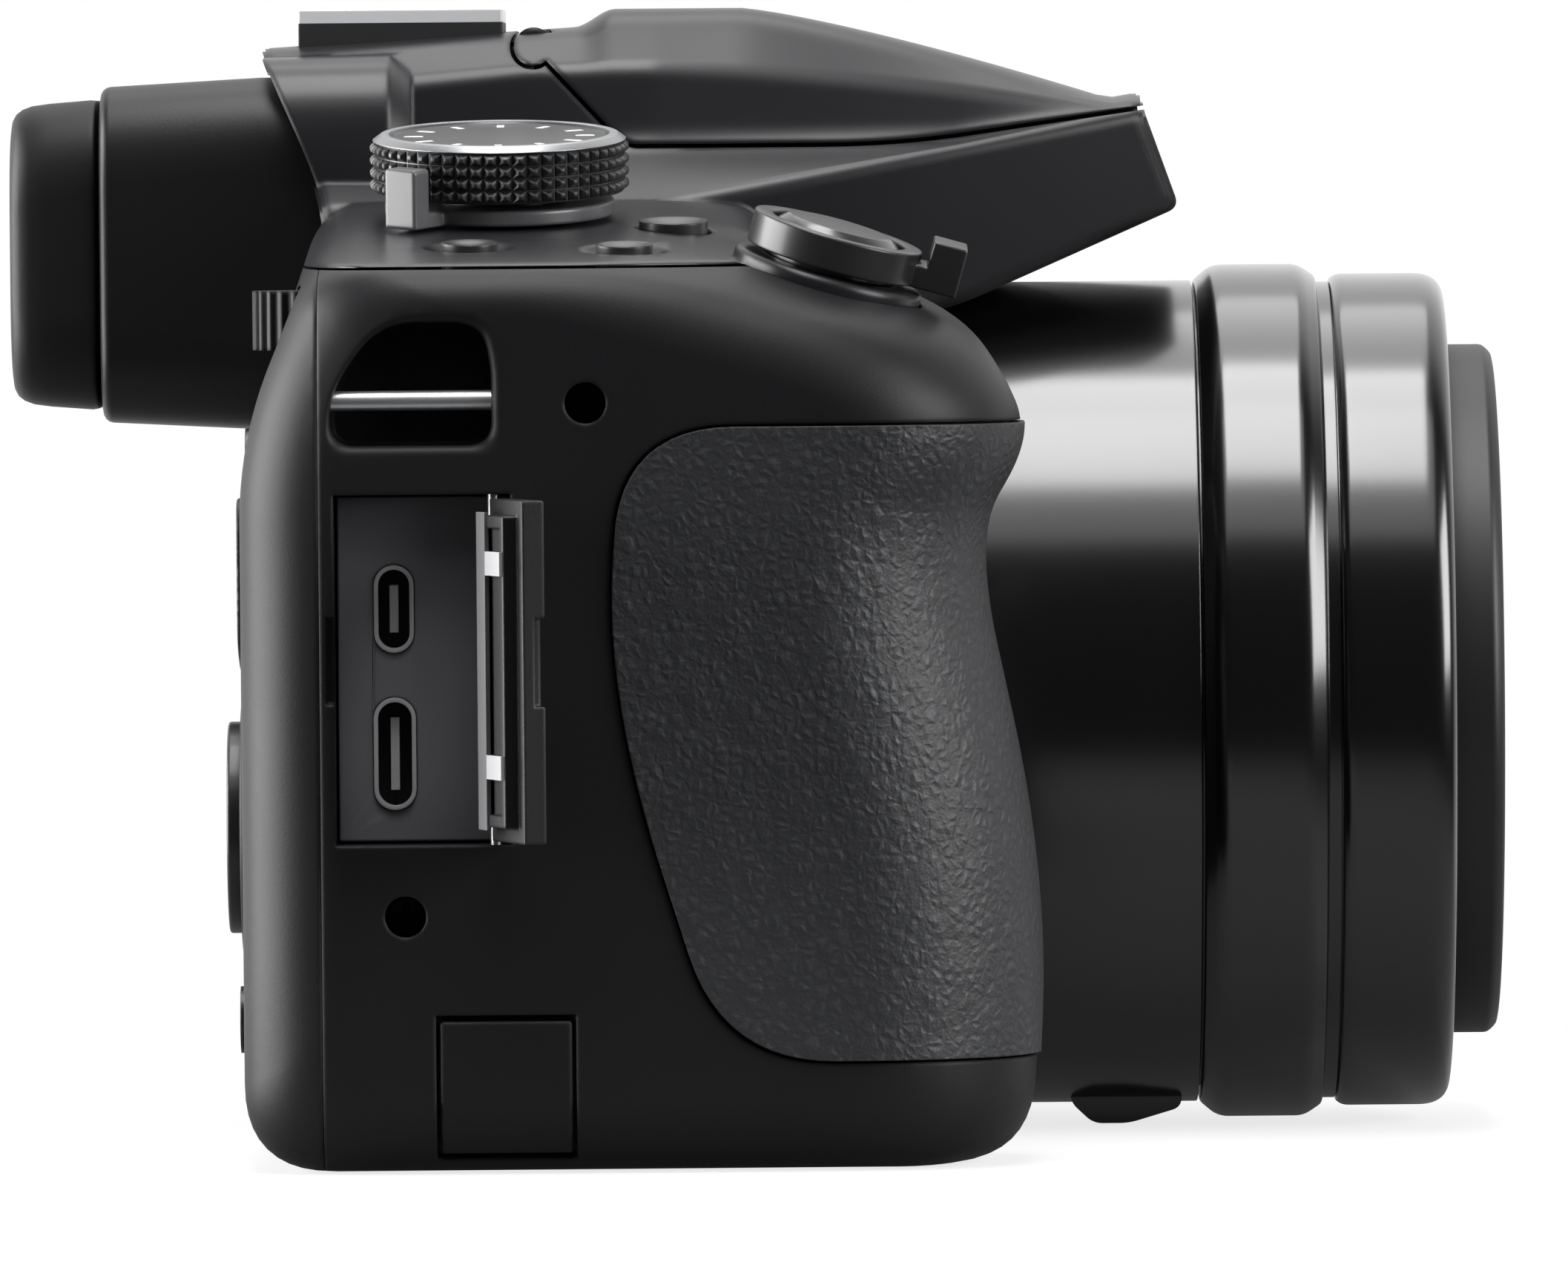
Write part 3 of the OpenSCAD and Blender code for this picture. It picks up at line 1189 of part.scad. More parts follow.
module function_button() color("#303135")
  on_deck(deck_buttons[1][0], deck_buttons[1][1]) deck_button(button_d, 0.4);

module movie_button() color("#5a2326") on_deck(movie_x, movie_y) deck_button(movie_d, 0.5);

flash_button_r = 2.4;
flash_button_x = waist_w + 2.6;
flash_button_y = -5;
flash_button_z = waist_h + 0.3;

module flash_button() color("#303135")
  rod_x(flash_button_y, flash_button_z, flash_button_r, waist_w - 4, flash_button_x + 0.8);

// Rear controls
pad_x = -50;
pad_z = knee_h - 32;
pad_stem_d = set_d + 4;
pad_proud = 1.6;
button_proud = 0.4;
rear_buttons = [[-38, pad_z + 18.5], [-64, pad_z - 15], [-36, knee_h - 2.5]];

module cursor_pad() color("#2e2f33") {
  difference() {
    union() {
      along_y(rear_reach + 0.3, rear_reach + pad_proud) translate([pad_x, pad_z]) circle(d = pad_d);
      rod_y(pad_x, pad_z, pad_stem_d / 2, rear_reach - wall - 0.4, rear_reach + 1);
    }
    along_y(rear_reach + pad_proud - 0.5, rear_reach + 5) translate([pad_x, pad_z]) circle(d = pad_d - 3);
    rod_y(pad_x, pad_z, set_d / 2 + run_gap, 0, 40);
  }
}

module set_button() color("#2e2f33")
  rod_y(pad_x, pad_z, set_d / 2, rear_reach - wall - 0.4, rear_reach + pad_proud - 0.2);

module rear_button(i) color("#303135")
  rod_y(rear_buttons[i][0], rear_buttons[i][1], rear_button_d / 2, rear_reach - wall - 0.6,
    rear_reach + button_proud);

module playback_button() rear_button(0);

module display_button() rear_button(1);

module lock_button() rear_button(2);

rear_dial_x = -55;
rear_dial_y = rear_reach - 0.8 - rear_dial_d / 2;
rear_dial_z = seam_h - 4.1;
rear_pin_r = 1.3;

module rear_dial() color("#26272a") translate([rear_dial_x, rear_dial_y, rear_dial_z]) {
  translate([0, 0, -rear_dial_h / 2]) linear_extrude(rear_dial_h) cog(rear_dial_d / 2, rear_dial_teeth, 0.4);
  translate([0, 0, -rear_dial_h / 2 - 2.2]) cylinder(r = rear_pin_r, h = rear_dial_h + 3);
}

module rear_dial_slot() translate([rear_dial_x, rear_dial_y, rear_dial_z]) {
  translate([0, 0, -rear_dial_h / 2 - run_gap]) cylinder(r = rear_dial_d / 2 + run_gap,
    h = rear_dial_h + 2 * run_gap);
  translate([0, 0, -rear_dial_h / 2 - 3]) cylinder(r = rear_pin_r + pin_gap, h = rear_dial_h + 6);
}

module rear_dial_cheek() difference() {
  top = rear_dial_z - rear_dial_h / 2 - run_gap;
  block([rear_dial_x - 4, rear_dial_y - 3, top - 2], [rear_dial_x + 4, rear_reach - 3.4, top]);
  rear_dial_slot();
}

front_cover();
rear_cover();
top_cover();
base_plate();
tripod_socket();
grip_rubber();
thumb_rest();
viewfinder_housing();
eyecup();
eyepiece_lens();
viewfinder_display();
hot_shoe();
monitor();
monitor_glass();
lens_barrel();
rear_collar();
front_collar();
rear_lens_group();
sensor_board();
main_board();
zoom_motor();
battery_box();
battery();
memory_card();
terminal_panel();
hdmi_socket();
usb_socket();
strap_bars();
case_screws();
flash_capacitor();
flash_hinge_pin();
terminal_hinge_pin();
battery_hinge_pin();
middle_barrel();
zoom_lens_group();
front_barrel();
front_lens();
mode_dial();
power_lever();
zoom_lever();
shutter_button();
drive_button();
function_button();
movie_button();
rear_dial();
cursor_pad();
set_button();
playback_button();
display_button();
lock_button();
flash_lid();
flash_head();
flash_window();
flash_button();
terminal_door();
battery_door();
battery_latch();
coupler_flap();
dioptre_dial();
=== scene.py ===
"""Bridge camera with its lens drawn in and its terminal door open: fine forms and finishes over the solids."""
import contextlib
import json
import math

import bmesh
import bpy
from mathutils import Matrix, Vector

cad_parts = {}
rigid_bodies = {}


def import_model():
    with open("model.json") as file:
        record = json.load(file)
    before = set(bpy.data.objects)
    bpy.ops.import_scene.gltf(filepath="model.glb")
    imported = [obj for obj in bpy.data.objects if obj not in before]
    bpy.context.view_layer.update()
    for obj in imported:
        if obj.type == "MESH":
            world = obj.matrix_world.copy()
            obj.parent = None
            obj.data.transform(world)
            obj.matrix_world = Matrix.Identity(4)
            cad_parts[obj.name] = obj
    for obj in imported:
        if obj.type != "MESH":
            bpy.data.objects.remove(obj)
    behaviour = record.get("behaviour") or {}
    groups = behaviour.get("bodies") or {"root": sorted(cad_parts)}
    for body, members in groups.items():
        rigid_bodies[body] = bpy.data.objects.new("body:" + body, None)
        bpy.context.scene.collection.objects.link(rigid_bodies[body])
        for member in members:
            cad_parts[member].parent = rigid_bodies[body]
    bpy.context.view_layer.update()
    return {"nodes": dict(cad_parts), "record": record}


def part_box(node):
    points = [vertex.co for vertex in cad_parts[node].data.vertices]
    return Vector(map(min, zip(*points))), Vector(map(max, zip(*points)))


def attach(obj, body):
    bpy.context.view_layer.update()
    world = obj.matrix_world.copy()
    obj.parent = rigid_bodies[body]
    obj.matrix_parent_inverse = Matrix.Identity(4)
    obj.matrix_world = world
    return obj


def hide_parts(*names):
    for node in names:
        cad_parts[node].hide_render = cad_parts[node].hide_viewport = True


bl_info = {
    "name": "Bridge Camera",
    "version": (1, 0, 0),
    "blender": (4, 5, 0),
    "location": "View3D > Sidebar > Bridge Camera",
    "description": "Builds the covers, lens, controls and finishes of a bridge camera on its solids",
    "category": "Object",
}

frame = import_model()
MM = 0.001
BODY_OF = {node: body for body, nodes in frame["record"]["behaviour"]["bodies"].items() for node in nodes}
MOUNTS = {mount["name"]: mount for mount in frame["record"]["mounts"]}
JOINTS = {joint["name"]: joint for joint in frame["record"]["behaviour"]["joints"]}


def low(node):
    """Lowest corner of a solid, in millimetres."""
    return [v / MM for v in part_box(node)[0]]


def high(node):
    """Highest corner of a solid, in millimetres."""
    return [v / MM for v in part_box(node)[1]]


def centre(node):
    """Middle of a solid's box, in millimetres."""
    return [(a + b) / 2 for a, b in zip(low(node), high(node))]


def radius(node, axis=0):
    """Half the size of a solid's box along an axis, in millimetres."""
    return (high(node)[axis] - low(node)[axis]) / 2


# Sizes that several pieces share, in millimetres, and places on the deck in X and Y
AXIS = MOUNTS["filter_thread"]["pos_m"][2] / MM
WALL = 2.2
RING_W, RING_OUT = 2.3, 2
HINGE_R, KNUCKLE_W, SEAL_GAP = 1.6, 3.6, 0.35
MODE_DIAL, MOVIE_BUTTON, SHUTTER = (-40, -5.2), (-47, -19.4), (-60, -31.8)
DECK_BUTTONS, DECK_BUTTON_R = ((-60, -3), (-62, -15.5)), 2.3
DIAL_SHAFT_R, SHUTTER_STEM_R, SCREW_R, SCREW_BOSS_R = 2.56, 1.56, 1.65, 3.25
# Half the length of a cut through the deck, and a height above the whole camera
THROUGH, SKY = 20, 120
# Points closer than this, in metres, are one point
NEAR = 2e-6


def length(name, description, millimetres):
    return bpy.props.FloatProperty(
        name=name, description=description, default=millimetres * MM, unit="LENGTH", precision=5)


def angle(name, description, degrees):
    return bpy.props.FloatProperty(
        name=name, description=description, default=math.radians(degrees), subtype="ANGLE")


def colour(name, description, grey):
    shade = grey if isinstance(grey, tuple) else (grey, grey, grey * 1.05)
    return bpy.props.FloatVectorProperty(
        name=name, description=description, default=shade, subtype="COLOR", size=3, min=0, max=1)


class BodySizes(bpy.types.PropertyGroup):
    """Sizes of the moulded body."""
    grip_side: length("Grip side", "Lens axis to the grip side", -low("front_cover")[0])
    left_side: length("Left side", "Lens axis to the left side", high("front_cover")[0])
    rear_reach: length("Rear", "Tripod axis to the rear face", high("monitor_glass")[1] - 0.3)
    face_reach: length("Face", "Tripod axis to the front face beside the lens", 29)
    grip_reach: length("Grip", "Tripod axis to the front of the grip", -low("front_cover")[1])
    deck_h: length("Deck", "Height of the deck at the foot of the hump", AXIS + 41.6)
    deck_tilt: angle("Deck tilt", "Slope of the deck down to each side", 6.5)
    deck_fall: length("Deck fall", "Fall of the deck towards the shutter button", 5.7)
    seam_h: length("Deck seam", "Height of the seam under the top cover", AXIS + 36.3)
    seam_reach: length("Rear seam", "Tripod axis to the seam between the covers", 9)
    rear_r: length("Rear radius", "Radius of the rear corners in plan", 8)
    grip_r: length("Grip radius", "Radius of the grip in plan", 15)
    base_r: length("Base radius", "Radius of the edge round the base", 6)
    deck_r: length("Deck radius", "Radius of the edge round the deck", 3)
    grip_in: length("Blend start", "Lens axis to the start of the blend from grip to face", 54)
    grip_blend: length("Blend width", "Width of the blend from grip to face", 12)
    notch_depth: length("Notch depth", "Depth of the finger notch", 5.8)
    notch_h: length("Notch height", "Height of the finger notch", AXIS + 14.3)
    shoulder_h: length("Shoulder", "Height of the shoulder of the grip", AXIS + 25.5)
    belly_h: length("Belly", "Height of the fullest part of the grip", 23)
    knee_h: length("Knee", "Height at which the rear face starts to lean forward", AXIS + 23)
    rubber_top: length("Rubber top", "Height of the top edge of the grip rubber", AXIS + 23.6)
    rubber_low: length("Rubber foot", "Height of the lower edge of the grip rubber", 8.8)
    rubber_t: length("Rubber", "Thickness of the grip rubber", 1.1)
    rubber_proud: length("Rubber rise", "Height of the grip rubber over the covers", 0.35)
    seam_gap: length("Seam gap", "Gap at the seams between fixed pieces", 0.2)
    run_gap: length("Running gap", "Gap round moving pieces", 0.35)


class HumpSizes(bpy.types.PropertyGroup):
    """Sizes of the flash hump."""
    hump_h: length("Top", "Height of the top of the flash lid", AXIS + 57.5)
    ridge_h: length("Ridge", "Height of the ridge at each side of the top", AXIS + 52.6)
    waist_h: length("Waist", "Height of the waist under the ridge", AXIS + 46.2)
    hump_foot: length("Foot", "Half width of the hump at the deck", 28.5)
    waist_w: length("Waist width", "Half width of the waist", 19.6)
    ridge_w: length("Ridge width", "Half width of the ridge", 18.7)
    top_w: length("Top width", "Half width of the flat top", 12)
    nose_reach: length("Nose", "Tripod axis to the tip of the nose", 61.3)
    nose_start: length("Nose start", "Tripod axis to the start of the nose taper", 17)
    edge_r: length("Edge", "Radius of the edges round the hump", 0.9)


class LensSizes(bpy.types.PropertyGroup):
    """Sizes of the lens."""
    axis_h: length("Axis", "Height of the lens axis", AXIS)
    barrel_d: length("Barrel", "Diameter of the fixed barrel", 68.8)


class FinishColours(bpy.types.PropertyGroup):
    """Colours of the finishes."""
    body: colour("Body", "Textured plastic of the body", (0.0078, 0.0079, 0.0090))
    cover: colour("Top cover", "Satin plastic of the top cover", (0.0150, 0.0150, 0.0170))
    rubber: colour("Rubber", "Grained rubber of the grip", (0.0250, 0.0256, 0.0285))
    lens: colour("Lens", "Gloss paint of the lens", 0.003)
    barrel: colour("Inner barrel", "Satin paint of the inner barrel", 0.009)
    control: colour("Controls", "Plastic of the buttons and dials", 0.016)
    # Lighter than the panel's own dark grey: painted light that stands in for the light that hardly reaches into
    # the bay
    panel: colour("Terminal panel", "Plastic behind the sockets", (0.19, 0.188, 0.205))
    chrome: colour("Bright metal", "Polished metal", (0.80, 0.81, 0.83))
    mark: colour("Marks", "Paint of the marks", (0.82, 0.82, 0.82))
    floor: colour("Floor", "Floor under the backdrop", (0.20, 0.20, 0.20))


class Millimetres:
    """Reads the lengths of a property group in millimetres."""

    def __init__(self, group):
        self.group = group

    def __getattr__(self, name):
        return getattr(self.group, name) / MM


# Outlines: lists of corners (u, v, ease), and the smooth curves round them

def fade(t):
    k = min(1, max(0, t))
    return k * k * (3 - 2 * k)


def mix(a, b, k):
    return a + (b - a) * k


def round_in(d, r):
    """How far a round edge of radius r is set in at the distance d from the side."""
    return 0 if d >= r else r - math.sqrt(r * r - (r - d) ** 2)


def grow(corners, d):
    """Corners moved outwards by d."""
    grown = []
    for i, (u, v, ease) in enumerate(corners):
        a, c = corners[i - 1], corners[(i + 1) % len(corners)]
        e, f = Vector((u - a[0], v - a[1])).normalized(), Vector((c[0] - u, c[1] - v)).normalized()
        p, q = Vector((e.y, -e.x)), Vector((f.y, -f.x))
        s = d / (1 + p.dot(q))
        grown.append((u + s * (p.x + q.x), v + s * (p.y + q.y), ease))
    return grown


def soft(corners, steps=10):
    """Points round an outline, with a curve at each corner."""
    points = []
    for i, (u, v, ease) in enumerate(corners):
        c = Vector((u, v))
        p = Vector(corners[i - 1][:2]) - c
        q = Vector(corners[(i + 1) % len(corners)][:2]) - c
        s = c + p * min(ease / p.length, 0.48)
        e = c + q * min(ease / q.length, 0.48)
        for j in range(steps + 1):
            k = j / steps
            points.append((1 - k) ** 2 * s + 2 * k * (1 - k) * c + k * k * e)
    return [(point.x, point.y) for point in points]


def rectangle(w, h, ease):
    return [(w / 2, -h / 2, ease), (w / 2, h / 2, ease), (-w / 2, h / 2, ease), (-w / 2, -h / 2, ease)]


# Solids, as meshes made from points in millimetres

@contextlib.contextmanager
def edited(mesh, near):
    """The mesh with points closer than near merged, to work on; written back at the end."""
    work = bmesh.new()
    work.from_mesh(mesh)
    bmesh.ops.remove_doubles(work, verts=work.verts, dist=near)
    yield work
    work.to_mesh(mesh)
    work.free()


def solid(points, faces):
    mesh = bpy.data.meshes.new("form")
    mesh.from_pydata([Vector(p) * MM for p in points], [], faces)
    with edited(mesh, 1e-7) as work:
        bmesh.ops.recalc_face_normals(work, faces=work.faces)
    return mesh


def loft(rings, closed=False):
    """Skin through rings of points, with flat ends, or joined end to end if closed."""
    n, m = len(rings[0]), len(rings)
    points = [p for ring in rings for p in ring]
    faces = []
    for k in range(m if closed else m - 1):
        a, b = k * n, (k + 1) % m * n
        faces += [(a + i, b + i, b + (i + 1) % n, a + (i + 1) % n) for i in range(n)]
    if not closed:
        faces += [tuple(range(n)), tuple(range((m - 1) * n, m * n))]
    return solid(points, faces)


def prism_x(outline, x0, x1):
    return loft([[(x, u, v) for u, v in outline] for x in (x0, x1)])


def prism_y(outline, y0, y1):
    return loft([[(u, y, v) for u, v in outline] for y in (y0, y1)])


def prism_z(outline, z0, z1):
    return loft([[(u, v, z) for u, v in outline] for z in (z0, z1)])


def block(a, b):
    return prism_z([(a[0], a[1]), (b[0], a[1]), (b[0], b[1]), (a[0], b[1])], a[2], b[2])


def flared(outline_at, x_at):
    """A cutter whose outline changes along X, such as the chamfer round a recess."""
    return loft([[(x, u, v) for u, v in outline] for outline, x in zip(outline_at, x_at)])


def spun(profile, place, sides=96):
    """A closed profile (radius, height) turned about the Z axis of place."""
    turns = [math.tau * k / sides for k in range(sides)]
    rings = [[place @ Vector((r * math.cos(t), r * math.sin(t), h)) for r, h in profile] for t in turns]
    return loft(rings, closed=True)


def rod(place, r, h0, h1, sides=64):
    """A round bar along the Z axis of place."""
    return spun([(0, h0), (r, h0), (r, h1), (0, h1)], place, sides)


def lens_frame(lens):
    """Z runs along the lens axis, out of the front."""
    return Matrix.Translation((0, 0, lens.axis_h)) @ Matrix.Rotation(math.radians(90), 4, "X")


def along(axis, point):
    """A frame at point whose Z runs along X or Y."""
    turn = {"X": Matrix.Rotation(math.radians(90), 4, "Y"), "Y": Matrix.Rotation(math.radians(-90), 4, "X")}
    return Matrix.Translation(point) @ turn[axis]


def joint_frame(name):
    """A frame at a hinge whose Z runs along its axis."""
    turn = Vector(JOINTS[name]["axis"]).to_track_quat("Z", "Y").to_matrix().to_4x4()
    return Matrix.Translation(Vector(JOINTS[name]["pos_m"]) / MM) @ turn


def carve(mesh, cutters, operation="DIFFERENCE"):
    """The mesh after each cutter has been taken away, added or met."""
    scene = bpy.context.scene.collection.objects
    work = bpy.data.objects.new("work", mesh)
    tools = [bpy.data.objects.new("tool", cutter) for cutter in cutters]
    for thing in [work] + tools:
        scene.link(thing)
    for tool in tools:
        step = work.modifiers.new("step", "BOOLEAN")
        step.solver = "MANIFOLD"
        step.operation = operation
        step.object = tool
    result = bpy.data.meshes.new_from_object(work.evaluated_get(bpy.context.evaluated_depsgraph_get()))
    for thing in [work] + tools:
        old = thing.data
        bpy.data.objects.remove(thing)
        bpy.data.meshes.remove(old)
    if not result.polygons:
        raise RuntimeError("a cut left nothing")
    return result


def meet(mesh, *others):
    return carve(mesh, others, "INTERSECT")


def fuse(mesh, *others):
    return carve(mesh, others, "UNION")


# Rings of studs or marks, by geometry nodes

def ring_tree():
    """Studs round a circle, leant outwards or left flat, in rows along the axis; lengths in millimetres."""
    tree = bpy.data.node_groups.new("ring_of_studs", "GeometryNodeTree")
    for name, kind in (("Count", "Int"), ("Rows", "Int"), ("Radius", "Float"), ("Pitch", "Float"),
                       ("Lean", "Float"), ("Size", "Vector"), ("Material", "Material")):
        tree.interface.new_socket(name=name, in_out="INPUT", socket_type="NodeSocket" + kind)
    tree.interface.new_socket(name="Geometry", in_out="OUTPUT", socket_type="NodeSocketGeometry")
    nodes = Nodes(tree)
    given = {socket.name: Wire(nodes, socket) for socket in tree.nodes.new("NodeGroupInput").outputs}
    stud = nodes.node("GeometryNodeMeshCone", {}, {
        "Vertices": 4, "Radius Top": 0.22, "Radius Bottom": 0.7071, "Depth": 1.0})
    stud = nodes.node("GeometryNodeTransform", {}, {"Geometry": stud, "Rotation": (0, 0, math.radians(45))})
    circle = nodes.node("GeometryNodeMeshCircle", {}, {"Vertices": given["Count"], "Radius": given["Radius"]})
    turn = nodes.node("GeometryNodeInputIndex") / given["Count"] * math.tau
    lean = nodes.node("ShaderNodeCombineXYZ", {}, {"Y": given["Lean"], "Z": turn})
    facing = nodes.node("FunctionNodeEulerToRotation", {}, {"Euler": lean})
    ring = nodes.node("GeometryNodeInstanceOnPoints", {}, {
        "Points": circle, "Instance": stud, "Rotation": facing, "Scale": given["Size"]})
    step = nodes.node("ShaderNodeCombineXYZ", {}, {"Z": given["Pitch"]})
    line = nodes.node("GeometryNodeMeshLine", {}, {"Count": given["Rows"], "Offset": step})
    rows = nodes.node("GeometryNodeInstanceOnPoints", {}, {"Points": line, "Instance": ring})
    plain = nodes.node("GeometryNodeRealizeInstances", {}, {"Geometry": rows})
    shown = nodes.node("GeometryNodeSetMaterial", {}, {"Geometry": plain, "Material": given["Material"]})
    nodes.join(tree.nodes.new("NodeGroupOutput"), {0: shown})
    return tree


def studs(tree, place, **sizes):
    """The mesh of one ring, set in the frame place."""
    holder = bpy.data.objects.new("ring", bpy.data.meshes.new("ring"))
    bpy.context.scene.collection.objects.link(holder)
    made = holder.modifiers.new("ring", "NODES")
    made.node_group = tree
    for item in tree.interface.items_tree:
        if item.in_out == "INPUT":
            made[item.identifier] = sizes[item.name]
    applied(holder)
    mesh = holder.data
    bpy.data.objects.remove(holder)
    mesh.transform(Matrix.Scale(MM, 4) @ place)
    return mesh


# Pieces: a finished mesh, its material and the solids that it stands for

def applied(obj):
    """The mesh of an object with its modifiers made real."""
    mesh = bpy.data.meshes.new_from_object(obj.evaluated_get(bpy.context.evaluated_depsgraph_get()))
    old = obj.data
    obj.modifiers.clear()
    obj.data = mesh
    bpy.data.meshes.remove(old)


def mend(mesh):
    """Merges points that a cut left too close, and drops the faces that this makes flat."""
    with edited(mesh, NEAR) as work:
        bmesh.ops.dissolve_degenerate(work, edges=work.edges, dist=NEAR)
        bmesh.ops.triangulate(work, faces=[face for face in work.faces if len(face.verts) > 4])


def placed(name, mesh, material):
    """An object in the scene with one material."""
    obj = bpy.data.objects.new(name, mesh)
    bpy.context.scene.collection.objects.link(obj)
    mesh.materials.clear()
    mesh.materials.append(material)
    return obj


def smooth(obj, sharp):
    """Smooth shading between edges sharper than an angle in degrees."""
    obj.data.shade_smooth()
    obj.data.set_sharp_from_angle(angle=math.radians(sharp))


def piece(name, mesh, material, *nodes, sharp=38, bevel=0):
    """Shades a mesh, makes it an object and lets it stand for its nodes."""
    mend(mesh)
    obj = placed(name, mesh, material)
    if bevel:
        edge = obj.modifiers.new("edge", "BEVEL")
        edge.width = bevel * MM
        edge.segments = 3
        edge.limit_method = "ANGLE"
        edge.angle_limit = math.radians(30)
        applied(obj)
        mend(obj.data)
    smooth(obj, sharp)
    weigh = obj.modifiers.new("weigh", "WEIGHTED_NORMAL")
    weigh.keep_sharp = True
    applied(obj)
    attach(obj, BODY_OF[nodes[0]])
    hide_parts(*nodes)


def trim(name, mesh, material, node, sharp=38):
    """A small piece that rides with a node and stands for none."""
    obj = placed(name, mesh, material)
    smooth(obj, sharp)
    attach(obj, BODY_OF[node])


def copied(node):
    """A merged copy of a solid's mesh, without the seams between its triangles."""
    mesh = frame["nodes"][node].data.copy()
    with edited(mesh, NEAR) as work:
        bmesh.ops.dissolve_limit(work, angle_limit=math.radians(1), verts=work.verts, edges=work.edges)
    if mesh.has_custom_normals:
        mesh.attributes.remove(mesh.attributes["custom_normal"])
    return mesh


def softened(node, material, bevel):
    """A solid with its edges eased."""
    piece(node + "_soft", copied(node), material, node, bevel=bevel)


def dress(material, *nodes):
    """Gives solids that keep their shape a finish."""
    for node in nodes:
        obj = frame["nodes"][node]
        obj.data.materials.clear()
        obj.data.materials.append(material)


# Materials

class Wire:
    """An output socket in a tree of nodes, with arithmetic."""

    def __init__(self, nodes, socket):
        self.nodes = nodes
        self.socket = socket

    def math(self, operation, a, b):
        return self.nodes.node("ShaderNodeMath", {"operation": operation}, {0: a, 1: b})

    def __add__(self, other):
        return self.math("ADD", self, other)

    __radd__ = __add__

    def __sub__(self, other):
        return self.math("SUBTRACT", self, other)

    def __rsub__(self, other):
        return self.math("SUBTRACT", other, self)

    def __mul__(self, other):
        return self.math("MULTIPLY", self, other)

    __rmul__ = __mul__

    def __truediv__(self, other):
        return self.math("DIVIDE", self, other)

    def __rtruediv__(self, other):
        return self.math("DIVIDE", other, self)

    def most(self, other):
        return self.math("MAXIMUM", self, other)

    def over(self, other):
        return self.math("GREATER_THAN", self, other)


class Nodes:
    """Makes and joins the nodes of a tree."""

    def __init__(self, tree):
        self.tree = tree

    def node(self, kind, settings=None, sockets=None, output=0):
        made = self.tree.nodes.new(kind)
        for key, value in (settings or {}).items():
            if key == "stops":
                self.set_stops(made.color_ramp, value)
            else:
                setattr(made, key, value)
        self.join(made, sockets or {})
        return Wire(self, made.outputs[output])

    def join(self, made, sockets):
        for key, value in sockets.items():
            if isinstance(value, Wire):
                self.tree.links.new(value.socket, made.inputs[key])
            else:
                made.inputs[key].default_value = value

    @staticmethod
    def set_stops(ramp, stops):
        while len(ramp.elements) < len(stops):
            ramp.elements.new(1.0)
        for element, (place, shade) in zip(ramp.elements, stops):
            element.position = place
            element.color = (*shade, 1.0)

    def rays(self):
        """Whether a ray comes from the camera, off a shine or through a pane."""
        return [self.node("ShaderNodeLightPath", output=f"Is {kind} Ray")
                for kind in ("Camera", "Glossy", "Transmission")]


class Finish(Nodes):
    """A material and the nodes in it."""

    def __init__(self, name):
        self.material = bpy.data.materials.new(name)
        self.material.use_nodes = True
        super().__init__(self.material.node_tree)
        self.shader = self.tree.nodes["Principled BSDF"]

    def place(self):
        return self.node("ShaderNodeTexCoord", output="Object")

    def noise(self, size, detail=2.0, place=None):
        """Noise whose grains are size millimetres wide."""
        return self.node("ShaderNodeTexNoise", {}, {
            "Vector": place or self.place(), "Scale": 1 / (size * MM), "Detail": detail, "Roughness": 0.55})

    def tint(self, shade, by, spread):
        """A colour that gets lighter and darker by a share of itself."""
        light = self.node("ShaderNodeMapRange", {}, {0: by, 3: 1 - spread, 4: 1 + spread})
        return self.node("ShaderNodeVectorMath", {"operation": "SCALE"}, {0: shade, "Scale": light})

    def bump(self, height, depth, bevel):
        """Surface relief of depth millimetres, on edges eased by bevel millimetres."""
        edge = self.node("ShaderNodeBevel", {"samples": 6}, {"Radius": bevel * MM})
        return self.node("ShaderNodeBump", {}, {
            "Strength": 1.0, "Distance": depth * MM, "Height": height, "Normal": edge})

    def surface(self, **sockets):
        self.join(self.shader, {key.replace("_", " "): value for key, value in sockets.items()})
        return self.material


def scaled(shade, share):
    return tuple(v * share for v in shade)


def textured_plastic(name, shade, rough=0.46, grain=0.22, depth=0.01, bevel=0.3, shine=0.4):
    """Moulded plastic with the fine texture of a spark eroded mould."""
    f = Finish(name)
    fine = f.noise(grain, 3.0)
    broad = f.noise(22, 2.0)
    return f.surface(
        Base_Color=f.tint(shade, broad, 0.10),
        Roughness=rough - 0.05 + 0.06 * broad + 0.05 * fine,
        Specular_IOR_Level=shine, Normal=f.bump(fine, depth, bevel))


def gloss_paint(name, shade, rough=0.2, bevel=0.2, coat=0.25):
    """Smooth dark paint with a faint unevenness."""
    f = Finish(name)
    broad = f.noise(14, 2.0)
    dust = f.noise(0.35, 1.0)
    return f.surface(
        Base_Color=f.tint(shade, broad, 0.08),
        Roughness=rough + 0.05 * broad + 0.03 * dust,
        Coat_Weight=coat, Coat_Roughness=0.18,
        Normal=f.bump(broad, 0.004, bevel))


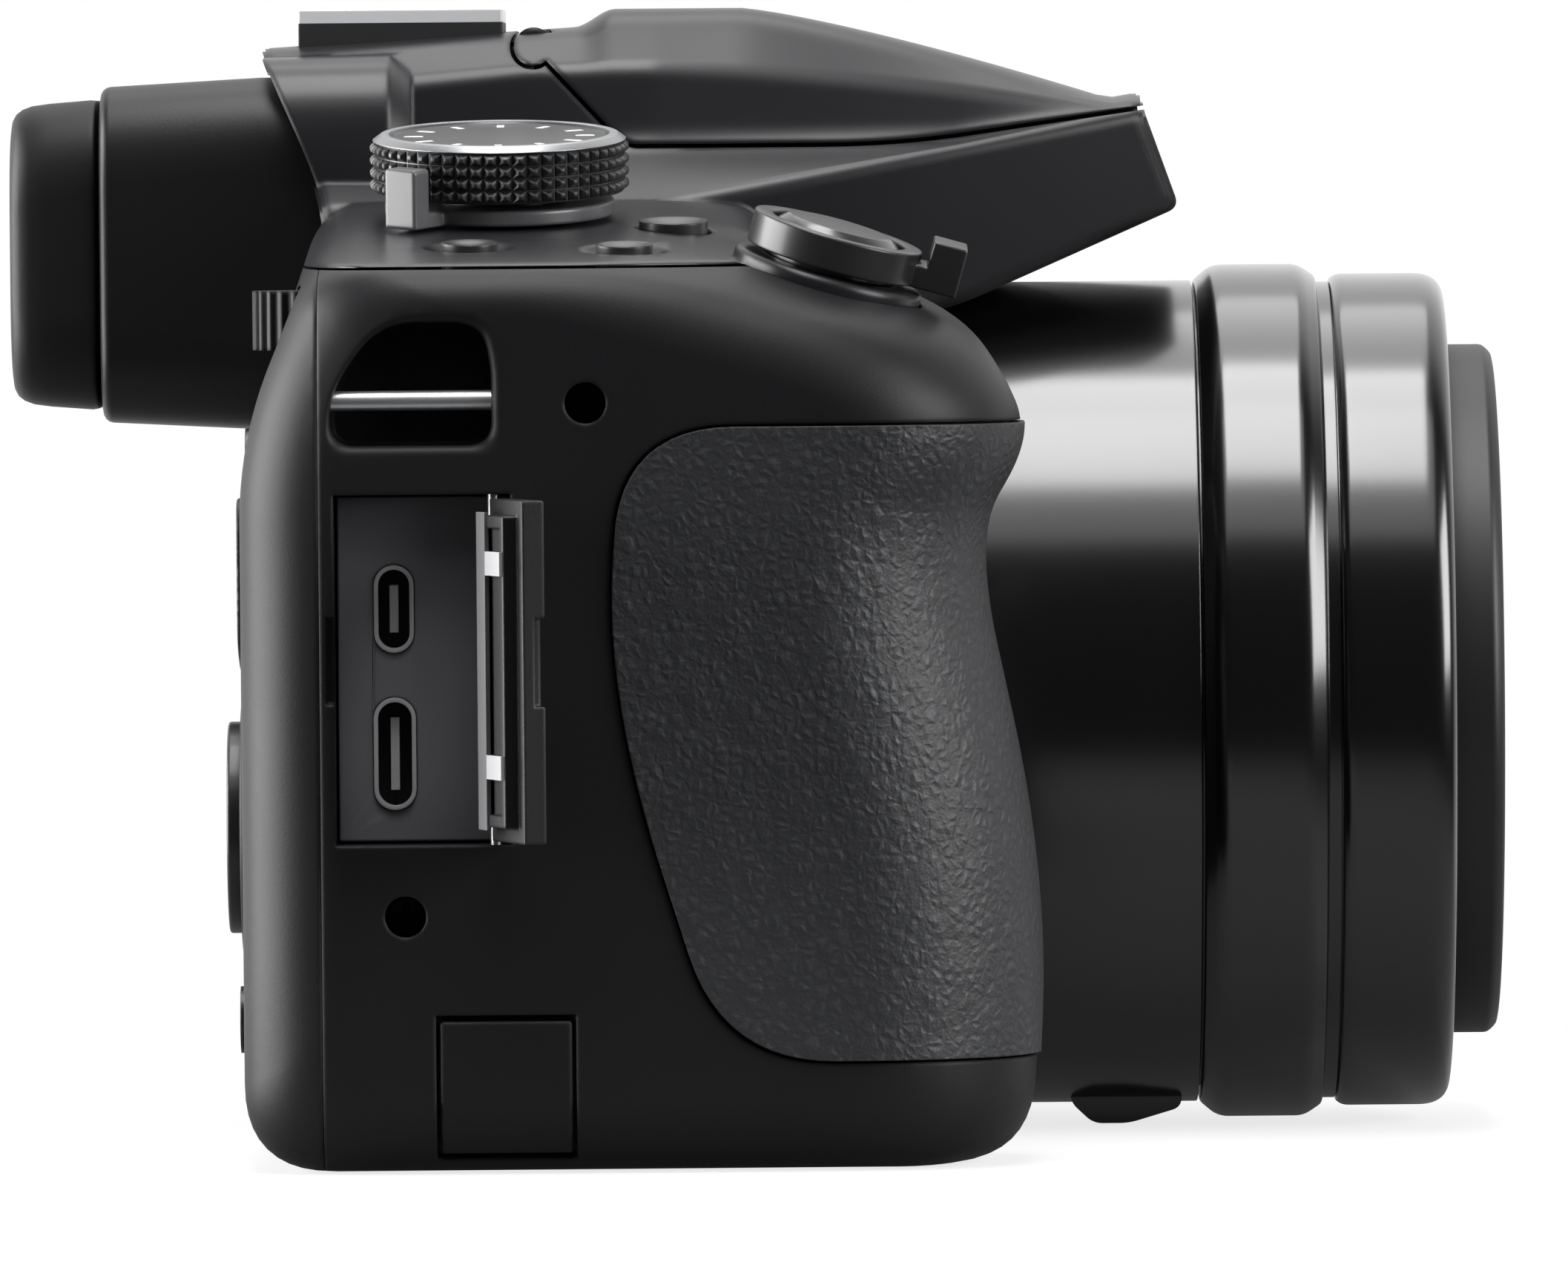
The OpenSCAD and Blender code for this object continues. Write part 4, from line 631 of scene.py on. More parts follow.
def grained_rubber(name, shade, grain=1.0, depth=0.2, rough=0.47):
    """Rubber with an uneven leather grain: raised pebbles between creases, its colour darker in the creases and
    lighter on the pebbles as painted shade and light.
    """
    f = Finish(name)
    place = f.place()
    drift = f.node("ShaderNodeTexNoise", {}, {
        "Vector": place, "Scale": 1 / (1.6 * MM), "Detail": 2.0}, output="Color")
    shift = f.node("ShaderNodeVectorMath", {"operation": "SCALE"}, {0: drift, "Scale": 0.9 * grain * MM})
    warped = f.node("ShaderNodeVectorMath", {"operation": "ADD"}, {0: place, 1: shift})
    crease = f.node("ShaderNodeTexVoronoi", {"feature": "DISTANCE_TO_EDGE"}, {
        "Vector": warped, "Scale": 1 / (grain * MM), "Randomness": 1.0})
    pebble = f.node("ShaderNodeMapRange", {"interpolation_type": "SMOOTHSTEP"}, {0: crease, 1: 0.0, 2: 0.55})
    lumps = f.noise(2.4 * grain, 3.0)
    fine = f.noise(0.25 * grain, 2.0)
    height = pebble * 0.34 + lumps * 0.9 + fine * 0.2
    # Colour: random tone from the lumps, and painted shade that darkens the creases and lightens the pebble tops
    return f.surface(
        Base_Color=f.tint(shade, pebble * 0.7 + lumps * 0.3, 0.35),
        Roughness=rough + 0.10 * fine - 0.06 * pebble,
        Normal=f.bump(height, depth, 0.2))


def bright_metal(name, shade, rough=0.14, bevel=0.12):
    """Plated metal with fine draw marks."""
    f = Finish(name)
    place = f.node("ShaderNodeMapping", {}, {"Vector": f.place(), "Scale": (8.0, 1.0, 8.0)})
    marks = f.noise(1.2, 2.0, place)
    return f.surface(
        Base_Color=f.tint(shade, marks, 0.05), Metallic=1.0,
        Roughness=rough + 0.08 * marks, Normal=f.bump(marks, 0.003, bevel))


def coated_glass(name, shade, tint):
    """Dark coated glass with a coloured reflection that shifts towards its edge."""
    f = Finish(name)
    edge = f.node("ShaderNodeLayerWeight", {}, {"Blend": 0.35}, output="Facing")
    ramp = f.node("ShaderNodeValToRGB", {"stops": [(0.0, shade), (0.55, tint), (1.0, shade)]}, {0: edge})
    return f.surface(Base_Color=ramp, Roughness=0.04, Coat_Weight=1.0, Coat_Roughness=0.02)


def shoe_metal(name, shade, edge):
    """Plated metal above a height in millimetres, and below it a painted shadow, dark as the slot under the
    rails.
    """
    f = Finish(name)
    place = f.place()
    marks = f.noise(1.0, 2.0)
    height = f.node("ShaderNodeSeparateXYZ", {}, {0: place}, output="Z")
    plated = f.node("ShaderNodeMapRange", {}, {0: height, 1: (edge - 0.04) * MM, 2: (edge + 0.04) * MM})
    # Below the height the colour is a painted shadow of the slot under the rails
    mixed = f.node("ShaderNodeMix", {"data_type": "RGBA"}, {
        0: plated, 6: (0.012, 0.012, 0.013, 1), 7: (*shade, 1)}, output=2)
    return f.surface(Base_Color=mixed, Metallic=0.35 * plated, Roughness=0.5 - 0.2 * plated + 0.06 * marks,
                     Normal=f.bump(marks, 0.003, 0.12))


def door_plastic(name, shade, mark, axis):
    """Moulded plastic with a painted highlight, a lighter grey, along the hinge edge within reach of the hinge
    axis.
    """
    f = Finish(name)
    fine = f.noise(0.22, 3.0)
    flat = f.node("ShaderNodeVectorMath", {"operation": "MULTIPLY"}, {0: f.place(), 1: (1, 1, 0)})
    away = f.node("ShaderNodeVectorMath", {"operation": "DISTANCE"}, {
        0: flat, 1: (axis[0], axis[1], 0)}, output="Value")
    # Painted highlight: within 1.4 mm of the hinge axis the colour turns to the lighter grey of mark
    hinge_highlight = f.node("ShaderNodeMapRange", {}, {0: away, 1: 1.5 * MM, 2: 1.4 * MM})
    mixed = f.node("ShaderNodeMix", {"data_type": "RGBA"}, {0: hinge_highlight, 6: (*shade, 1), 7: (*mark, 1)}, output=2)
    return f.surface(Base_Color=mixed, Roughness=0.42 + 0.08 * fine, Normal=f.bump(fine, 0.008, 0.3))


def plain_mark(name, shade):
    """Printed paint, slightly worn."""
    f = Finish(name)
    wear = f.noise(0.5, 3.0)
    return f.surface(Base_Color=f.tint(shade, wear, 0.06), Roughness=0.45 + 0.1 * wear)


def circuit_board(name, shade):
    """Solder mask with faint tracks."""
    f = Finish(name)
    tracks = f.node("ShaderNodeTexVoronoi", {"feature": "DISTANCE_TO_EDGE", "distance": "EUCLIDEAN"}, {
        "Vector": f.place(), "Scale": 1 / (3.5 * MM)})
    line = tracks.over(0.08)
    return f.surface(Base_Color=f.tint(shade, line, 0.25), Roughness=0.35 + 0.15 * line)


def finishes(colours):
    """Every material of the camera, by name."""
    return {
        "body": textured_plastic("body_plastic", colours.body, bevel=0.5, shine=0.25),
        "cover": textured_plastic("cover_plastic", colours.cover, rough=0.30, grain=0.16, depth=0.004,
                                  bevel=0.7),
        "finder": textured_plastic("finder_plastic", scaled(colours.body, 0.7), rough=0.42, shine=0.35),
        "rubber": grained_rubber("grip_rubber", colours.rubber),
        "eyecup": textured_plastic("eyecup_rubber", scaled(colours.body, 0.5), rough=0.5, grain=0.4, depth=0.008,
                                   shine=0.3),
        "lens": gloss_paint("lens_gloss", colours.lens, rough=0.18, coat=0.8),
        "barrel": gloss_paint("barrel_paint", colours.barrel, rough=0.42, coat=0.0),
        "control": gloss_paint("control_plastic", colours.control, rough=0.34, bevel=0.25),
        "lever": gloss_paint("lever_paint", scaled(colours.control, 1.5), rough=0.3, bevel=0.25),
        "switch": gloss_paint("switch_paint", (0.085, 0.085, 0.09), rough=0.34, bevel=0.25),
        "plating": gloss_paint("plating", (0.50, 0.50, 0.51), rough=0.3, bevel=0.1),
        "seal": plain_mark("grey_seal", (0.15, 0.15, 0.155)),
        "tab": plain_mark("pale_tab", (0.42, 0.42, 0.43)),
        "shutter": gloss_paint("shutter_paint", scaled(colours.control, 1.6), rough=0.22, coat=0.6),
        # The panel colour is lighter than its own dark grey, as painted light in the recessed bay
        "panel": textured_plastic("panel_plastic", colours.panel, rough=0.5, grain=0.3),
        "bar": bright_metal("bar_metal", colours.chrome, rough=0.34),
        "steel": bright_metal("steel", scaled(colours.chrome, 0.5), rough=0.3),
        "brass": bright_metal("brass", (0.68, 0.52, 0.28), rough=0.28),
        "glass": coated_glass("coated_glass", (0.010, 0.012, 0.022), (0.060, 0.024, 0.075)),
        "screen": coated_glass("screen_glass", (0.004, 0.004, 0.005), (0.008, 0.008, 0.010)),
        "window": coated_glass("flash_window", (0.62, 0.64, 0.66), (0.72, 0.73, 0.75)),
        "mark": plain_mark("white_mark", colours.mark),
        # The hot shoe is plated above 1.1 mm under its top, with a painted shadow below
        "shoe": shoe_metal("shoe_metal", colours.chrome, high("hot_shoe")[2] - 1.1),
        # The lighter grey is a painted highlight along the hinge edge of the door
        "door": door_plastic("door_plastic", colours.body, (0.10, 0.10, 0.105),
                             JOINTS["terminal_door_swing"]["pos_m"]),
        "board": circuit_board("board", (0.012, 0.055, 0.026)),
        "cell": textured_plastic("battery_wrap", (0.09, 0.095, 0.105), rough=0.5),
        "dark": textured_plastic("dark_plastic", scaled(colours.body, 0.45), rough=0.6),
    }


FINISH = {}


# Forms of the moulded covers

class BodyForm:
    """The outside of the body, as profiles in Y and Z at stations across it."""

    def __init__(self, scene):
        self.s = Millimetres(scene.camera_body)
        self.tilt = scene.camera_body.deck_tilt
        self.hump_foot = Millimetres(scene.camera_hump).hump_foot
        self.fall_run = 20
        self.fall_start = self.s.grip_reach - 26.6

    def side_in(self, x, r):
        return round_in(x + self.s.grip_side, r) + round_in(self.s.left_side - x, r)

    def deck_z(self, x):
        return self.s.deck_h - math.tan(self.tilt) * max(0, abs(x) - self.hump_foot)

    def corners(self, x, d, lift):
        s = self.s
        k = fade((x - d + s.grip_in) / s.grip_blend)
        rear = s.rear_reach - self.side_in(x, s.rear_r)
        foot = self.side_in(x, s.base_r)
        top = self.deck_z(x) - self.side_in(x, s.deck_r)
        a = round_in(x + s.grip_side, s.grip_r)
        b = round_in(s.left_side - x, s.rear_r)

        def front(set_back, face_back):
            return -mix(s.grip_reach - set_back - a, s.face_reach - face_back - b, k)

        fall = s.grip_reach - self.fall_start
        return [
            (rear, foot, 7), (rear, s.knee_h, 7), (rear - 6 * (1 + lift / (top - s.knee_h)), top + lift, 4),
            (front(fall, 8), top + lift, 8),
            (front(fall - self.fall_run, 1.5), top - mix(s.deck_fall, 1, k), 6),
            (front(1.6, 0), s.shoulder_h, 7), (front(1.6, 0), s.shoulder_h - 4, 3),
            (front(s.notch_depth, 0), s.notch_h, 9), (front(0, 0), s.belly_h, 16), (front(1.1, 0), foot, 7)]

    def stations(self, grip_only):
        s = self.s
        grip = [16 * (i / 15) ** 2.2 - s.grip_side for i in range(16)]
        grip += [s.grip_blend * k / 16 - s.grip_in for k in range(17)]
        if grip_only:
            return grip
        left = [s.left_side - 9 * (i / 12) ** 2.2 for i in range(12, -1, -1)]
        return grip + [-self.hump_foot, self.hump_foot] + left

    def solid(self, d=0, lift=0, grip_only=False, steps=10):
        s = self.s
        span = s.grip_side + s.left_side
        rings = []
        for x in self.stations(grip_only):
            at = x + d * (2 * (x + s.grip_side) / span - 1)
            rings.append([(at, u, v) for u, v in soft(grow(self.corners(x, d, lift), d), steps)])
        return loft(rings)

    def above_seam(self, gap):
        s, run = self.s, 24
        fall = -self.fall_start - 3
        edge = s.seam_h + gap
        return prism_x([(40, edge), (fall, edge), (fall - run, edge - run * math.tan(math.radians(8.4))),
                        (fall - run, 130), (40, 130)], -s.grip_side - 5, s.left_side + 5)

    def rubber_zone(self, gap):
        s = self.s
        ahead = -s.grip_reach - 12
        rim = [(ahead, s.rubber_low, 0.1), (-23, s.rubber_low, 9), (-13.8, 38, 18), (-15.2, s.rubber_top, 9),
               (ahead, s.rubber_top, 0.1)]
        return prism_x(soft(grow(rim, gap), 12), -s.grip_side - 4, -s.grip_in + 4 + gap)

    def deck_frame(self, x, y):
        """A frame on the sloping deck, Z out of it."""
        return Matrix.Translation((x, y, self.deck_z(x))) @ Matrix.Rotation(-self.tilt, 4, "Y")

    def shutter_frame(self):
        fall_angle = math.atan(self.s.deck_fall / self.fall_run)
        x, y = SHUTTER
        z = self.deck_z(x) - (-y - self.fall_start) * math.tan(fall_angle)
        turn = Matrix.Rotation(-self.tilt, 4, "Y") @ Matrix.Rotation(fall_angle, 4, "X")
        return Matrix.Translation((x, y, z)) @ turn


class HumpForm:
    """The hump over the lens, as sections in X and Z from the rear to the nose."""

    def __init__(self, scene):
        self.h = Millimetres(scene.camera_hump)
        self.s = Millimetres(scene.camera_body)
        self.barrel_top = Millimetres(scene.camera_lens).axis_h + Millimetres(scene.camera_lens).barrel_d / 2
        self.hinge = [v / MM for v in JOINTS["flash_tilt"]["pos_m"]]
        self.crown_back = -self.hinge[1] + 6.8
        self.crown_step = 3.5
        self.at_hinge = along("X", (0, *self.hinge[1:]))
        self.knuckles = (-self.h.top_w + 0.4, self.h.top_w - 4)

    def nose_part(self, y):
        h = self.h
        return min(1.05, max(0, (-y - h.nose_start) / (h.nose_reach - h.nose_start)))

    def top(self, y):
        part = self.nose_part(y)
        fall = 8.2 * (max(0, part - 0.18) / 0.72) ** 1.25
        step = 1.5 * fade((y + self.crown_back) / self.crown_step)
        return self.h.hump_h - fall - step - 0.06 * max(0, y + self.crown_back - self.crown_step)

    def corners(self, y):
        h, k = self.h, self.nose_part(y)
        cheek = (mix(h.hump_foot, 14, k ** 1.3), mix(self.s.deck_h - 0.6, h.waist_h + 3.2, k))
        waist = (mix(h.waist_w, 12.6, k), max(h.waist_h, cheek[1] + 0.3))
        rise = h.ridge_h - 4 * k ** 1.3 - 0.09 * max(0, y + self.crown_back / 2)
        ridge = (mix(h.ridge_w, 11.2, k), max(rise, waist[1] + 0.5))
        crown = (mix(h.top_w, 7, k), max(self.top(y), ridge[1] + 0.6))
        half = [(cheek[0] - 3, self.s.seam_h - 13, 0.5), (*cheek, 1.2), (*waist, 2), (*ridge, 1.2), (*crown, 3)]
        return half + [(-u, v, ease) for u, v, ease in reversed(half)]

    def skin(self, d):
        h = self.h
        run = h.nose_reach - h.nose_start
        ys = [18 - 1.5 * i for i in range(20)]
        ys += [-self.crown_back + self.crown_step * i / 8 for i in range(8, -1, -1)]
        ys += [-h.nose_start - run * 1.03 * i / 34 for i in range(35)]
        ys = sorted(set(round(y, 4) for y in ys), reverse=True)
        return loft([[(u, y, v) for u, v in soft(grow(self.corners(y), d), 7)] for y in ys])

    def side(self, d):
        h, s = self.h, self.s
        foot = s.seam_h + s.seam_gap
        face = -s.face_reach - s.seam_gap
        rim = [(s.seam_reach + 0.5, foot, 0.2), (s.seam_reach + 0.8, s.deck_h + 0.4, 6),
               (s.seam_reach + 8.6, h.hump_h + 2, 5), (-h.nose_reach + 2.6, h.hump_h + 2, 0.5),
               (-h.nose_reach + 2.9, h.waist_h + 2.4, 0.8), (-h.nose_reach, self.barrel_top + 6.2, 1),
               (-h.nose_reach + 18.1, self.barrel_top - 1.6, 2), (face, self.barrel_top - 5.4, 0.2),
               (face, foot, 0.2)]
        return prism_x(soft(grow(rim, d), 8), -50, 50)

    def solid(self):
        """The hump with its rim eased in steps."""
        form = meet(self.skin(0), self.side(-self.h.edge_r))
        for part in (0.3, 0.65):
            lean = math.asin(1 - part)
            inset = self.h.edge_r * (1 - math.cos(lean))
            form = fuse(form, meet(self.skin(-inset), self.side(-self.h.edge_r * part)))
        return fuse(form, meet(self.skin(-self.h.edge_r), self.side(0)))

    def lid_prism(self, gap, half):
        h = self.h
        ahead, over = -h.nose_reach - 13.7, h.hump_h + 25
        back = -self.crown_back
        rim = [(ahead, over, 0.1), (ahead, h.waist_h + 5.2, 0.1), (-h.nose_reach + 23.3, h.waist_h, 6),
               (back - 1.1, h.waist_h, 1), (back + 0.3, h.waist_h + 1.2, 1),
               (self.hinge[1], self.hinge[2], 0.1), (self.hinge[1], over, 0.1)]
        return prism_x(soft(grow(rim, gap), 8), -half, half)

    def lid_zone(self, gap):
        return fuse(self.lid_prism(gap, 40), rod(self.at_hinge, HINGE_R + gap, -40, 40))

    def seal(self, end, spare):
        """A fin across the seam of the lid, behind the arm or ahead of the head, which keeps out light."""
        half, reach = 4 + spare, 1.1 + spare
        if end == "rear":
            inset, y0, y1 = 0.9, -self.crown_back - 1.9 - spare, self.hinge[1] - 2.0 + spare
        else:
            inset, y0, y1 = 0.4, -self.h.nose_reach - 9, low("flash_head")[1] + 5 + spare
        band = carve(self.lid_prism(reach, half), [self.lid_prism(-reach, half + 1)])
        return meet(band, self.skin(-inset), self.side(-inset), block((-9, y0, 0), (9, y1, 200)))

    def hinge_disc(self, spare):
        """A disc round the hinge, part of the lid, which closes the seam beside it."""
        disc = rod(self.at_hinge, 3.6 + spare, -6.6 - spare, -4.8 + spare)
        return meet(disc, self.skin(spare - 0.9))


class FinderForm:
    """The viewfinder, as rounded rectangles along Y."""

    def __init__(self, scene):
        lo, hi = low("viewfinder_housing"), high("viewfinder_housing")
        self.front, self.reach = lo[1], hi[1]
        self.mid = (lo[2] + hi[2]) / 2
        self.size = (hi[0] - lo[0], hi[2] - lo[2])
        self.knee = Millimetres(scene.camera_body).rear_reach - 0.5

    def ring(self, y, d):
        k = max(0, (y - self.knee) / (self.reach - self.knee))
        corners = rectangle(self.size[0] - 1.6 * k, self.size[1] - 1.4 * k, 8)
        return [(u, y, v + self.mid) for u, v in soft(grow(corners, d), 16)]

    def solid(self, d=0):
        return loft([self.ring(y, d) for y in (self.reach, self.knee, self.front - d)])


def strap_outline(d):
    h = MOUNTS["strap_bar_grip_side"]["pos_m"][2] / MM
    rim = [(8, h - 3.6, 2), (8, h + 0.8, 3), (4, h + 6.2, 3),
           (-4, h + 6.2, 2.5), (-4.9, h + 3, 2), (-4.9, h - 3.6, 2)]
    return soft(grow(rim, d), 10)


def strap_cups(scene, depth, d=0):
    s = Millimetres(scene.camera_body)
    outline = strap_outline(d)
    return [prism_x(outline, -s.grip_side - 1, -s.grip_side + depth),
            prism_x(outline, s.left_side - depth, s.left_side + 1)]


def strap_rims(scene, ease):
    """Cutters for the eased rim of each strap recess."""
    s = Millimetres(scene.camera_body)
    turns = (0.0, 0.5, 1.0, math.pi / 2)
    outlines = [strap_outline(ease * (1 - math.sin(t))) for t in turns]
    depths = [ease * (1 - math.cos(t)) for t in turns]
    return [flared(outlines[:1] + outlines, [side + out] + [side - out * depth for depth in depths])
            for side, out in ((-s.grip_side, -1), (s.left_side, 1))]


def base_corners(s):
    side, rear, front = -s.grip_side + 7.6, s.rear_reach - 8.6, -s.grip_reach + 10.2
    blend = -s.grip_in + s.grip_blend
    return [(s.left_side - 8.5, rear, 4), (side, rear, 4), (side, front, 6), (-s.grip_in - 1.5, front, 5),
            (blend - 2.5, -s.face_reach + 3, 6), (blend + 4, -s.face_reach + 7.6, 5),
            (s.left_side - 8.5, -s.face_reach + 7.6, 4)]


def base_cut(s):
    """Room for the base plate and its lip, cut from both covers."""
    lip, plate = 1.5, high("base_plate")[2]
    return [prism_z(soft(grow(base_corners(s), s.seam_gap), 8), -1, 7),
            prism_z(soft(grow(base_corners(s), lip + s.seam_gap), 8), plate / 2 - s.seam_gap, 7.1)]


def flap_outline(form, out, back, gap):
    """The coupler flap in X and Z, following the edge round the base."""
    s, top = form.s, high("coupler_flap")[2]
    side = [(d - s.grip_side, form.side_in(d - s.grip_side, s.base_r)) for d in (0, 0.6, 2)]
    return [(side[0][0] - out, top + gap), (side[0][0] - out, side[0][1]), (side[1][0] - out, side[1][1] - out),
            (side[2][0] - out, side[2][1] - out - gap), (side[2][0] + back, side[2][1] + back * 0.4 - gap),
            (side[0][0] + back, side[0][1]), (side[0][0] + back, top + gap)]


def wheel_room(node, gap):
    """Room round a wheel that stands upright."""
    x, y, _ = centre(node)
    foot, top = low(node)[2] + 2.2 - gap, high(node)[2] - 0.8 + gap
    return rod(Matrix.Translation((x, y, 0)), radius(node) + gap, foot, top)


def bay_outline(scene):
    """Corners of the terminal bay in Y and Z: front, rear, low and high."""
    panel_low, panel_high = low("terminal_panel"), high("terminal_panel")
    gap = Millimetres(scene.camera_body).seam_gap
    return panel_low[1] - gap, panel_high[1] + gap, panel_low[2] - gap, panel_high[2] + gap


def screw_places():
    return [(-12.4, AXIS + 25.6), (2.3, AXIS - 15.3)]


def body_hollow(scene, form):
    """The inside of the covers, less what stands in it."""
    s, side = form.s, -form.s.grip_side
    front, _, foot, top = bay_outline(scene)
    flap = flap_outline(form, 0, 3.7, 2)
    bay = block((side + 0.5, front - 1.6, foot - 1.6),
                (low("terminal_panel")[0] + 2.6, s.seam_reach + 1, top + 1.6))
    keep = [bay, prism_y(flap, low("coupler_flap")[1] - 2, high("coupler_flap")[1] + 2)]
    keep += strap_cups(scene, 8.4, 1.4)
    keep += [rod(along("X", (0, y, z)), SCREW_BOSS_R, side + 0.5, side + 7) for y, z in screw_places()]
    tall = block((side + 7, -form.fall_start + 3, 0), (s.left_side - 7, 60, 130))
    return carve(fuse(form.solid(-WALL, steps=5), meet(form.solid(-WALL, lift=6, steps=5), tall)), keep)


def front_cover(scene):
    form = BodyForm(scene)
    s, lens = form.s, Millimetres(scene.camera_lens)
    r, axis = lens.barrel_d / 2, lens_frame(lens)
    side, tip = -s.grip_side, s.face_reach + RING_OUT
    ring = [(r, 10, 0.1), (r + RING_W, 10, 0.1), (r + RING_W, tip, 1.1), (r, tip, 0.3)]
    ring = meet(spun(soft(ring, 6), axis, 192), block((-50, -60, 0.3), (50, -s.face_reach + 4, s.seam_h - 1)))
    front, rear, foot, top = bay_outline(scene)
    notch = centre("terminal_door")[2]
    under = form.solid(s.rubber_proud - s.rubber_t - 0.1, grip_only=True)
    box_low, box_high = low("battery_box"), high("battery_box")
    cutters = [
        body_hollow(scene, form),
        block((side - 9, s.seam_reach, -9), (s.left_side + 9, s.rear_reach + 9, SKY)),
        form.above_seam(0),
        rod(axis, r + s.seam_gap, s.face_reach - 20, 100, 192),
        carve(form.rubber_zone(s.seam_gap), [under]),
        *base_cut(s), *strap_cups(scene, 7), *strap_rims(scene, 0.8),
        block((side - 1, front, foot), (low("terminal_panel")[0] + 2, rear, top)),
        block((side - 1, rear - 0.1, notch - 2.7), (side + 1.6, rear + 0.7, notch + 4.3)),
        *[rod(along("X", (0, y, z)), SCREW_R, side - 1, side + 4.4) for y, z in screw_places()],
        prism_y(flap_outline(form, 2, 1.3 + s.run_gap, s.run_gap + 0.15),
                low("coupler_flap")[1] - s.run_gap, high("coupler_flap")[1] + s.run_gap),
        FinderForm(scene).solid(s.seam_gap),
        wheel_room("rear_dial", s.run_gap),
        rod(form.shutter_frame(), 8.1, -9, 11),
        *[rod(form.deck_frame(*at), DECK_BUTTON_R + s.run_gap, -THROUGH, THROUGH) for at in DECK_BUTTONS],
        block((box_low[0] - 0.3, box_low[1] - 0.3, -1), [v + 0.3 for v in box_high]),
    ]
    return carve(fuse(form.solid(), ring), cutters)


def rear_cover(scene):
    form = BodyForm(scene)
    s, side, out = form.s, -form.s.grip_side, form.s.rear_reach + 2
    pad_x, _, pad_z = centre("cursor_pad")
    pad_r, at_pad = radius("cursor_pad"), along("Y", (pad_x, 0, pad_z))
    lip, rise = pad_r + 2.1, s.rear_reach + 0.5
    ring = spun(soft([(0, 14, 0.1), (lip, 14, 0.1), (lip, rise, 0.5), (0, rise, 0.1)], 6), at_pad)
    (x0, _, z0), (x1, _, z1) = low("monitor_glass"), high("monitor_glass")
    window = [(x1, z0, 2), (x1, z1, 2), (x0, z1, 2), (x0, z0, 2)]
    thumb = [(side + 9, s.knee_h - 17, 4), (side + 21, s.knee_h - 20, 5),
             (side + 19, s.knee_h - 5, 5), (side + 9, s.knee_h - 5, 3)]
    cutters = [
        body_hollow(scene, form),
        block((side - 9, -s.grip_reach - 9, -9), (s.left_side + 9, s.seam_reach + 0.06, SKY)),
        form.above_seam(0), *base_cut(s), FinderForm(scene).solid(s.seam_gap),
        prism_y(soft(grow(window, s.seam_gap), 6), s.seam_reach, out),
        wheel_room("rear_dial", s.run_gap),
        rod(at_pad, pad_r + s.run_gap, s.rear_reach - 0.5, out),
        rod(at_pad, 5 + s.run_gap, 0, out),
        prism_y(soft(grow(thumb, s.seam_gap), 8), low("thumb_rest")[1], out),
    ]
    for node in ("playback_button", "display_button", "lock_button"):
        x, _, z = centre(node)
        cutters.append(rod(along("Y", (x, 0, z)), radius(node) + s.run_gap, 0, out))
    return carve(fuse(form.solid(), ring), cutters)


